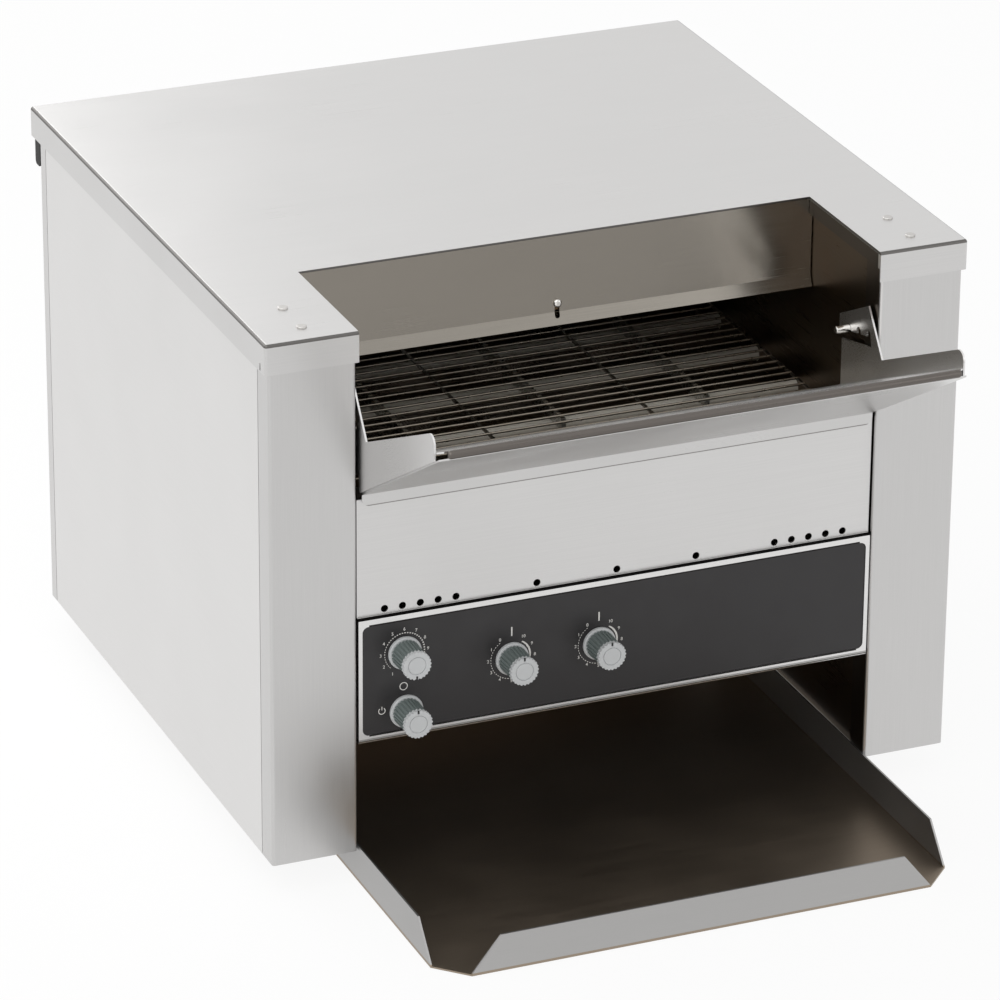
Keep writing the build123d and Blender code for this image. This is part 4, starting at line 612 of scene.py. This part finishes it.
class TOASTER_OT_dials(bpy.types.Operator):
    """Printed scales, numbers and marks on the fascia"""
    bl_idname = "toaster.dials"
    bl_label = "Print the dials"

    def heat_dial(self, name, dials, ink):
        """Dashed scale with a crescent, off bar, and 0 to 10 set counter-clockwise."""
        centre = DIAL_CENTRES[name]
        inner = dials.scale_radius
        thick, thin = 100, 330          # clockwise angles where the dashes end
        tip = 33                        # and where the crescent does, next to the off bar
        dashes = printed_ring(
            centre, inner + 0.9 * MM, inner + 1.3 * MM,
            lambda turn: thick < turn < thin and is_dash(turn),
            lambda turn: (0.95 + 0.55 * (1 - (turn - thick) / (thin - thick))) * 0.35 * MM)
        crescent = printed_ring(centre, inner - 0.8 * MM, inner,
                                lambda turn: tip < turn < thick, crescent_width)
        self.print_marks(join_all([dashes, crescent]), name + "_scale", ink)
        foot = 15.2 * MM
        bar = printed_bar(centre, dials.bar_width, foot, foot + dials.bar_length)
        self.print_marks(bar, name + "_off_bar", ink)
        numbers = printed_numbers(
            centre, [(n, -NUMBER_TURN - NUMBER_TURN * n) for n in range(11)])
        self.print_marks(join_all(numbers), name + "_numbers", ink)

    def speed_dial(self, dials, ink):
        """Dashed scale and 1 to 9, set clockwise from the lowest point."""
        centre = DIAL_CENTRES["speed"]
        inner = dials.scale_radius
        start, end = 225, 100           # clockwise angles, past the top
        span = (end - start) % 360

        def width(turn):
            past = (turn - start) % 360
            # The last dash reaches slightly past the scale's end.
            return (0.3 + 0.7 * past / span) * MM if past < span + 5 else 0.3 * MM

        scale = printed_ring(centre, inner, inner + 0.4 * MM,
                             lambda turn: (turn > start or turn < end) and is_dash(turn), width)
        self.print_marks(scale, "speed_scale", ink)
        numbers = printed_numbers(centre, [(n, 180 + NUMBER_TURN * n) for n in range(1, 10)])
        self.print_marks(join_all(numbers), "speed_numbers", ink)

    def power_marks(self, ink):
        """Ring for off above the switch and the standby sign on its left."""
        x, z = DIAL_CENTRES["power"]
        above = (x - 1.5 * MM, z + 17.0 * MM)
        off_ring = printed_ring(above, 2.2 * MM, 2.75 * MM, lambda turn: True,
                                segments=SYMBOL_SEGMENTS)
        self.print_marks(off_ring, "power_off_mark", ink)
        on_its_left = (x - 16.0 * MM, z + 2.4 * MM)
        gap = 35                        # degrees, half the arc's opening at its top
        arc = printed_ring(on_its_left, 1.9 * MM, 2.4 * MM,
                           lambda turn: gap < turn < 360 - gap, segments=SYMBOL_SEGMENTS)
        stem = printed_bar(on_its_left, 0.5 * MM, 0.5 * MM, 3.0 * MM)
        self.print_marks(join_all([arc, stem]), "power_standby_mark", ink)

    def print_marks(self, piece, name, ink):
        """Settles one print on the fascia."""
        settle(piece, name, ink, "housing", "knob_cap_plastic")

    def execute(self, context):
        dials = context.scene.toaster_dials
        # Ink stands slightly proud of the film and is a little duller than it.
        ink = moulded("screen_printed_ink", context.scene.toaster_finishes.ink, 0.5, relief=0.05)
        for name in ("top_heat", "bottom_heat"):
            self.heat_dial(name, dials, ink)
        self.speed_dial(dials, ink)
        self.power_marks(ink)
        return {"FINISHED"}


NEAR = 0.2 * MM                 # from a rim, and reaches a rib's edge beside it
RING_GAP = 0.4 * MM             # from the fascia to the base ring
RING_RADIUS = 11.0 * MM
RING_HEIGHT = 2.2 * MM
RING_ROUND = 1.0 * MM
GRIP_START = 1.4 * MM           # from the base ring's back to the grip's end inside it
GRIP_RADIUS = 9.6 * MM
GRIP_TIP_RADIUS = 8.8 * MM
RIB_EDGE = 0.12 * MM            # slope at a rib's side
CAP_HEIGHT = 3.0 * MM
CAP_RADIUS = 9.5 * MM           # over its teeth
CAP_ROOT_RADIUS = 8.9 * MM      # between them
# Steps inwards and forwards, in millimetres, that draw the fine groove in a cap's face.
CAP_GROOVE = ((1.2, 0.0), (2.2, 0.0), (0.15, -0.6), (0.25, 0.0), (0.15, 0.5))
NOTCH = (1.4 * MM, 3.0 * MM, 4.4 * MM)
NOTCH_PLACE = (0.0, KNOB_FRONT, 9.2 * MM)
POINTER = (1.3 * MM, 1.1 * MM, 1.9 * MM)
POINTER_SINK = 0.75 * MM        # from the cap's face to the middle of the pointer
POINTER_PLACE = (0.0, KNOB_FRONT + POINTER_SINK, 8.0 * MM)
POINTER_ROUND = 0.15 * MM


class TOASTER_OT_knobs(bpy.types.Operator):
    """Ribbed grips, base rings and toothed caps of the four knobs"""
    bl_idname = "toaster.knobs"
    bl_label = "Model the knobs"

    def ribbed(self, radius, tip_radius, front, back, count, depth):
        """Grip with grooves between its ribs, along the Y axis."""
        deselect_all()
        bpy.ops.mesh.primitive_cylinder_add(
            vertices=2 * count, radius=radius, depth=back - front,
            location=(0.0, (front + back) / 2, 0.0), rotation=FRONTWARDS)
        piece = bpy.context.object
        bpy.ops.object.transform_apply(location=True, rotation=True, scale=True)
        step = math.pi / count
        pick(piece, lambda face, place: abs(face.normal.y) < 0.5
             and int(math.floor(math.atan2(place.z, place.x) / step)) % 2 == 0)
        bpy.ops.mesh.inset(thickness=RIB_EDGE, depth=-depth, use_individual=True)
        pick(piece, lambda vertex, place: abs(place.y - front) < NEAR, "verts")
        shrink = tip_radius / radius
        bpy.ops.transform.resize(value=(shrink, 1.0, shrink), center_override=(0.0, front, 0.0))
        bpy.ops.object.mode_set(mode="OBJECT")
        return piece

    def toothed(self, radius, root, front, back, teeth):
        """Cap with a fine groove in its face and square teeth round its rim."""
        deselect_all()
        bpy.ops.mesh.primitive_cylinder_add(
            vertices=4 * teeth, radius=radius, depth=back - front,
            location=(0.0, (front + back) / 2, 0.0), rotation=FRONTWARDS)
        piece = bpy.context.object
        bpy.ops.object.transform_apply(location=True, rotation=True, scale=True)
        pick(piece, lambda face, place: face.normal.y < -0.9)
        for inwards, forwards in CAP_GROOVE:
            bpy.ops.mesh.inset(thickness=inwards * MM, depth=forwards * MM)
        step = math.pi / (2 * teeth)
        pick(piece, lambda vertex, place: math.hypot(place.x, place.z) > radius - NEAR
             and round(math.atan2(place.z, place.x) / step) % 4 in (2, 3), "verts")
        shrink = root / radius
        bpy.ops.transform.resize(value=(shrink, 1.0, shrink), center_override=(0.0, front, 0.0))
        bpy.ops.object.mode_set(mode="OBJECT")
        return piece

    def cuboid(self, place, sides):
        """Box at a place, with its size in its mesh."""
        deselect_all()
        bpy.ops.mesh.primitive_cube_add(size=1.0, location=place)
        piece = bpy.context.object
        piece.scale = sides
        bpy.ops.object.transform_apply(location=True, rotation=True, scale=True)
        return piece

    def base_ring(self, back):
        """Ring behind the grip, rounded in front."""
        deselect_all()
        bpy.ops.mesh.primitive_cylinder_add(
            vertices=72, radius=RING_RADIUS, depth=RING_HEIGHT,
            location=(0.0, back - RING_HEIGHT / 2, 0.0), rotation=FRONTWARDS)
        ring = bpy.context.object
        bpy.ops.object.transform_apply(location=True, rotation=True, scale=True)
        pick(ring, lambda edge, place: place.y < back - RING_HEIGHT + NEAR
             and math.hypot(place.x, place.z) > RING_RADIUS - RING_ROUND, "edges")
        bpy.ops.mesh.bevel(offset=RING_ROUND, segments=4, affect="EDGES")
        bpy.ops.object.mode_set(mode="OBJECT")
        bpy.ops.object.shade_smooth_by_angle(angle=math.radians(40))
        return ring

    def notched_cap(self, back, teeth):
        """Toothed cap with the notch that its pointer stands in."""
        cap = self.toothed(CAP_RADIUS, CAP_ROOT_RADIUS, KNOB_FRONT, back, teeth)
        cutter = self.cuboid(NOTCH_PLACE, NOTCH)
        cap.select_set(True)
        bpy.context.view_layer.objects.active = cap
        notch = cap.modifiers.new("notch", "BOOLEAN")
        notch.operation = "DIFFERENCE"
        notch.solver = "EXACT"
        notch.object = cutter
        bpy.ops.object.modifier_apply(modifier="notch")
        bpy.data.objects.remove(cutter)
        if len(cap.data.polygons) < 4 * teeth:
            raise RuntimeError("the pointer's notch emptied the cap")
        return cap

    def pointer(self):
        """Bar in the cap's notch, rounded in front."""
        mark = self.cuboid(POINTER_PLACE, POINTER)
        front = KNOB_FRONT + POINTER_SINK - POINTER[1] / 2
        pick(mark, lambda edge, place: place.y < front + NEAR, "edges")
        bpy.ops.mesh.bevel(offset=POINTER_ROUND, segments=2, affect="EDGES")
        bpy.ops.object.mode_set(mode="OBJECT")
        return mark

    def execute(self, context):
        knobs = context.scene.toaster_knobs
        finishes = context.scene.toaster_finishes
        # Moulded plastic with a faint spark-eroded grain: half-dull grip, smoother pale cap.
        grey = moulded("abs_knob_grip", finishes.knob_body, 0.38, pit=0.3)
        pale = moulded("abs_knob_cap", finishes.knob_cap, 0.34, pit=0.3, relief=0.12)
        dark = moulded("black_pointer_fill", linear("#161616"), 0.45, pit=0.3)
        back = FASCIA_FRONT - RING_GAP
        cap_back = KNOB_FRONT + CAP_HEIGHT
        for name, (x, z) in DIAL_CENTRES.items():
            # The speed dial's pointer rests at its lowest point.
            turn = math.pi if name == "speed" else 0.0
            body = name + "_control"

            grip = self.ribbed(GRIP_RADIUS, GRIP_TIP_RADIUS, cap_back, back - GRIP_START,
                               knobs.ribs, knobs.rib_depth)
            grip.location = (x, 0.0, z)
            settle(grip, name + "_grip", grey, body, "knob_body_plastic", name + "_knob")

            ring = self.base_ring(back)
            ring.location = (x, 0.0, z)
            settle(ring, name + "_base_ring", pale, body, "knob_cap_plastic")

            cap = self.notched_cap(cap_back, knobs.teeth)
            cap.rotation_euler = (0.0, turn, 0.0)
            cap.location = (x, 0.0, z)
            settle(cap, name + "_cap", pale, body, "knob_cap_plastic", name + "_knob_cap")

            mark = self.pointer()
            mark.rotation_euler = (0.0, turn, 0.0)
            mark.location = (x, 0.0, z)
            settle(mark, name + "_pointer", dark, body, "control_plastic")
        return {"FINISHED"}


FLOOR_SIZE = 24.0               # metres
FLOOR_DROP = 0.3 * MM           # below the feet, so that no two faces share a plane
FLOOR_SPECKLE = 25 * MM
FLOOR_OWN_WHITE = 0.9           # share of the floor's white that doesn't depend on the lamps
# Each lamp's name, the stage's value for its power, its size, place and target in metres.
LAMPS = (
    ("key_light", "key", (4.2, 4.2), (-1.6, -1.2, 3.1), (-0.2, 0.0, 0.1)),
    ("back_light", "back", (2.0, 0.8), (-0.64, 1.75, 1.43), (-0.25, 0.1, 0.37)),
    ("fill_light", "fill", (1.2, 1.2), (1.6, -1.9, 1.0), (0.0, -0.1, 0.1)),
    ("floor_light", "pool", (0.5, 0.5), (-0.55, 0.46, 0.5), (-0.55, 0.46, 0.0)),
)
CAMERA_PLACE = (-1.3507, -3.1697, 1.7190)
CAMERA_TURN = 22.81             # degrees to the right of straight back
CAMERA_FALL = 24.20             # degrees below level
CAMERA_ROLL = 0.47              # degrees
CAMERA_LENS = 209.9             # millimetres
CAMERA_SENSOR = 36.0            # millimetres
CAMERA_REACH = 100.0            # metres


class TOASTER_OT_stage(bpy.types.Operator):
    """Pale floor, soft lights, even sky and the camera"""
    bl_idname = "toaster.stage"
    bl_label = "Set the stage"

    def floor(self):
        """Pale painted floor: nearly white, with a soft shadow under the machine."""
        deselect_all()
        bpy.ops.mesh.primitive_grid_add(x_subdivisions=4, y_subdivisions=4, size=FLOOR_SIZE,
                                        location=(0.0, 0.0, -FLOOR_DROP))
        floor = bpy.context.object
        floor.name = "stage_floor"
        bpy.ops.object.transform_apply(location=True, rotation=True, scale=True)
        material, tree = new_material("pale_stage_floor")
        coords = add_node(tree, "TexCoord").outputs["Object"]
        speckle = add_node(tree, "TexNoise", {"Scale": 1 / FLOOR_SPECKLE, "Detail": 2.0},
                           {"Vector": coords}).outputs["Fac"]
        tone = add_node(tree, "Mix", {MIX_A: rgba(linear("#fbfbfa")),
                                      MIX_B: rgba(linear("#ffffff"))},
                        {0: speckle}, data_type="RGBA").outputs[MIX_RESULT]
        paint = add_node(tree, "BsdfPrincipled", {"Roughness": 0.9, "Specular IOR Level": 0.1},
                         {"Base Color": tone})
        white = add_node(tree, "Emission", {"Color": WHITE, "Strength": 1.0})
        # Part of the floor's white is its own, so its far end doesn't turn grey.
        share = add_node(tree, "Math", {1: FLOOR_OWN_WHITE}, {0: self.seen_directly(tree)},
                         operation="MULTIPLY").outputs[0]
        mixed = add_node(tree, "MixShader", links={0: share, 1: paint.outputs["BSDF"],
                                                   2: white.outputs["Emission"]})
        add_node(tree, "OutputMaterial", links={"Surface": mixed.outputs[0]})
        floor.data.materials.append(material)

    def seen_directly(self, tree):
        """1 for what the camera sees itself, in metal or through glass, otherwise 0."""
        path = add_node(tree, "LightPath")
        either = add_node(tree, "Math", links={0: path.outputs["Is Camera Ray"],
                                               1: path.outputs["Is Glossy Ray"]},
                          operation="MAXIMUM").outputs[0]
        return add_node(tree, "Math", links={0: either, 1: path.outputs["Is Transmission Ray"]},
                        operation="MAXIMUM").outputs[0]

    def sky(self, strength):
        """Even sky that is white where it is seen and dimmer where it lights the machine."""
        world = bpy.context.scene.world or bpy.data.worlds.new("sky")
        bpy.context.scene.world = world
        world.use_nodes = True
        tree = world.node_tree
        tree.nodes.clear()
        white = add_node(tree, "Background", {"Color": WHITE, "Strength": 1.0})
        even = add_node(tree, "Background", {"Color": WHITE, "Strength": strength})
        mixed = add_node(tree, "MixShader", links={
            0: self.seen_directly(tree), 1: even.outputs[0], 2: white.outputs[0]})
        add_node(tree, "OutputWorld", links={"Surface": mixed.outputs[0]})

    def soft_light(self, name, power, size, place, target):
        """Rectangular lamp aimed at a point."""
        data = bpy.data.lights.new(name, "AREA")
        data.shape = "RECTANGLE"
        data.size, data.size_y = size
        data.energy = power
        light = bpy.data.objects.new(name, data)
        bpy.context.scene.collection.objects.link(light)
        light.location = place
        aim = Vector(target) - Vector(place)
        light.rotation_euler = aim.to_track_quat("-Z", "Y").to_euler()

    def camera(self):
        """Camera in front, to the left and above, slightly rolled."""
        turn = math.radians(CAMERA_TURN)
        fall = math.radians(CAMERA_FALL)
        roll = math.radians(CAMERA_ROLL)
        ahead = Vector((math.sin(turn) * math.cos(fall), math.cos(turn) * math.cos(fall),
                        -math.sin(fall)))
        right = Vector((math.cos(turn), -math.sin(turn), 0.0))
        up = right.cross(ahead)
        right, up = (right * math.cos(roll) + up * math.sin(roll),
                     up * math.cos(roll) - right * math.sin(roll))
        data = bpy.data.cameras.new("camera")
        data.lens = CAMERA_LENS
        data.sensor_width = CAMERA_SENSOR
        data.clip_end = CAMERA_REACH
        camera = bpy.data.objects.new("camera", data)
        bpy.context.scene.collection.objects.link(camera)
        turned = Matrix((right, up, -ahead)).transposed().to_4x4()
        camera.matrix_world = Matrix.Translation(CAMERA_PLACE) @ turned
        bpy.context.scene.camera = camera

    def execute(self, context):
        stage = context.scene.toaster_stage
        self.floor()
        self.sky(stage.world)
        for name, value, size, place, target in LAMPS:
            self.soft_light(name, getattr(stage, value), size, place, target)
        self.camera()
        context.scene.view_settings.view_transform = "Standard"
        return {"FINISHED"}


class TOASTER_PT_panel(bpy.types.Panel):
    """Sidebar panel with the toaster's values and operators"""
    bl_idname = "TOASTER_PT_panel"
    bl_label = "Conveyor Toaster"
    bl_space_type = "VIEW_3D"
    bl_region_type = "UI"
    bl_category = "Toaster"

    def draw(self, context):
        layout = self.layout
        for group in GROUPS:
            values = getattr(context.scene, group)
            box = layout.box()
            for name in values.bl_rna.properties.keys():
                if name not in ("rna_type", "name"):
                    box.prop(values, name)
        for operator in OPERATORS:
            layout.operator(operator.bl_idname)


GROUPS = {"toaster_finishes": ToasterFinishes, "toaster_dials": ToasterDials,
          "toaster_knobs": ToasterKnobs, "toaster_stage": ToasterStage}
OPERATORS = (TOASTER_OT_housing, TOASTER_OT_oven, TOASTER_OT_drive, TOASTER_OT_chute_and_tray,
             TOASTER_OT_controls, TOASTER_OT_dials, TOASTER_OT_knobs, TOASTER_OT_stage)


def register():
    for name, group in GROUPS.items():
        bpy.utils.register_class(group)
        setattr(bpy.types.Scene, name, PointerProperty(type=group))
    for operator in OPERATORS:
        bpy.utils.register_class(operator)
    bpy.utils.register_class(TOASTER_PT_panel)


def unregister():
    bpy.utils.unregister_class(TOASTER_PT_panel)
    for operator in reversed(OPERATORS):
        bpy.utils.unregister_class(operator)
    for name, group in reversed(list(GROUPS.items())):
        delattr(bpy.types.Scene, name)
        bpy.utils.unregister_class(group)


def main():
    register()
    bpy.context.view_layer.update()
    for operator in OPERATORS:
        family, name = operator.bl_idname.split(".")
        getattr(getattr(bpy.ops, family), name)()


if __name__ == "__main__":
    main()
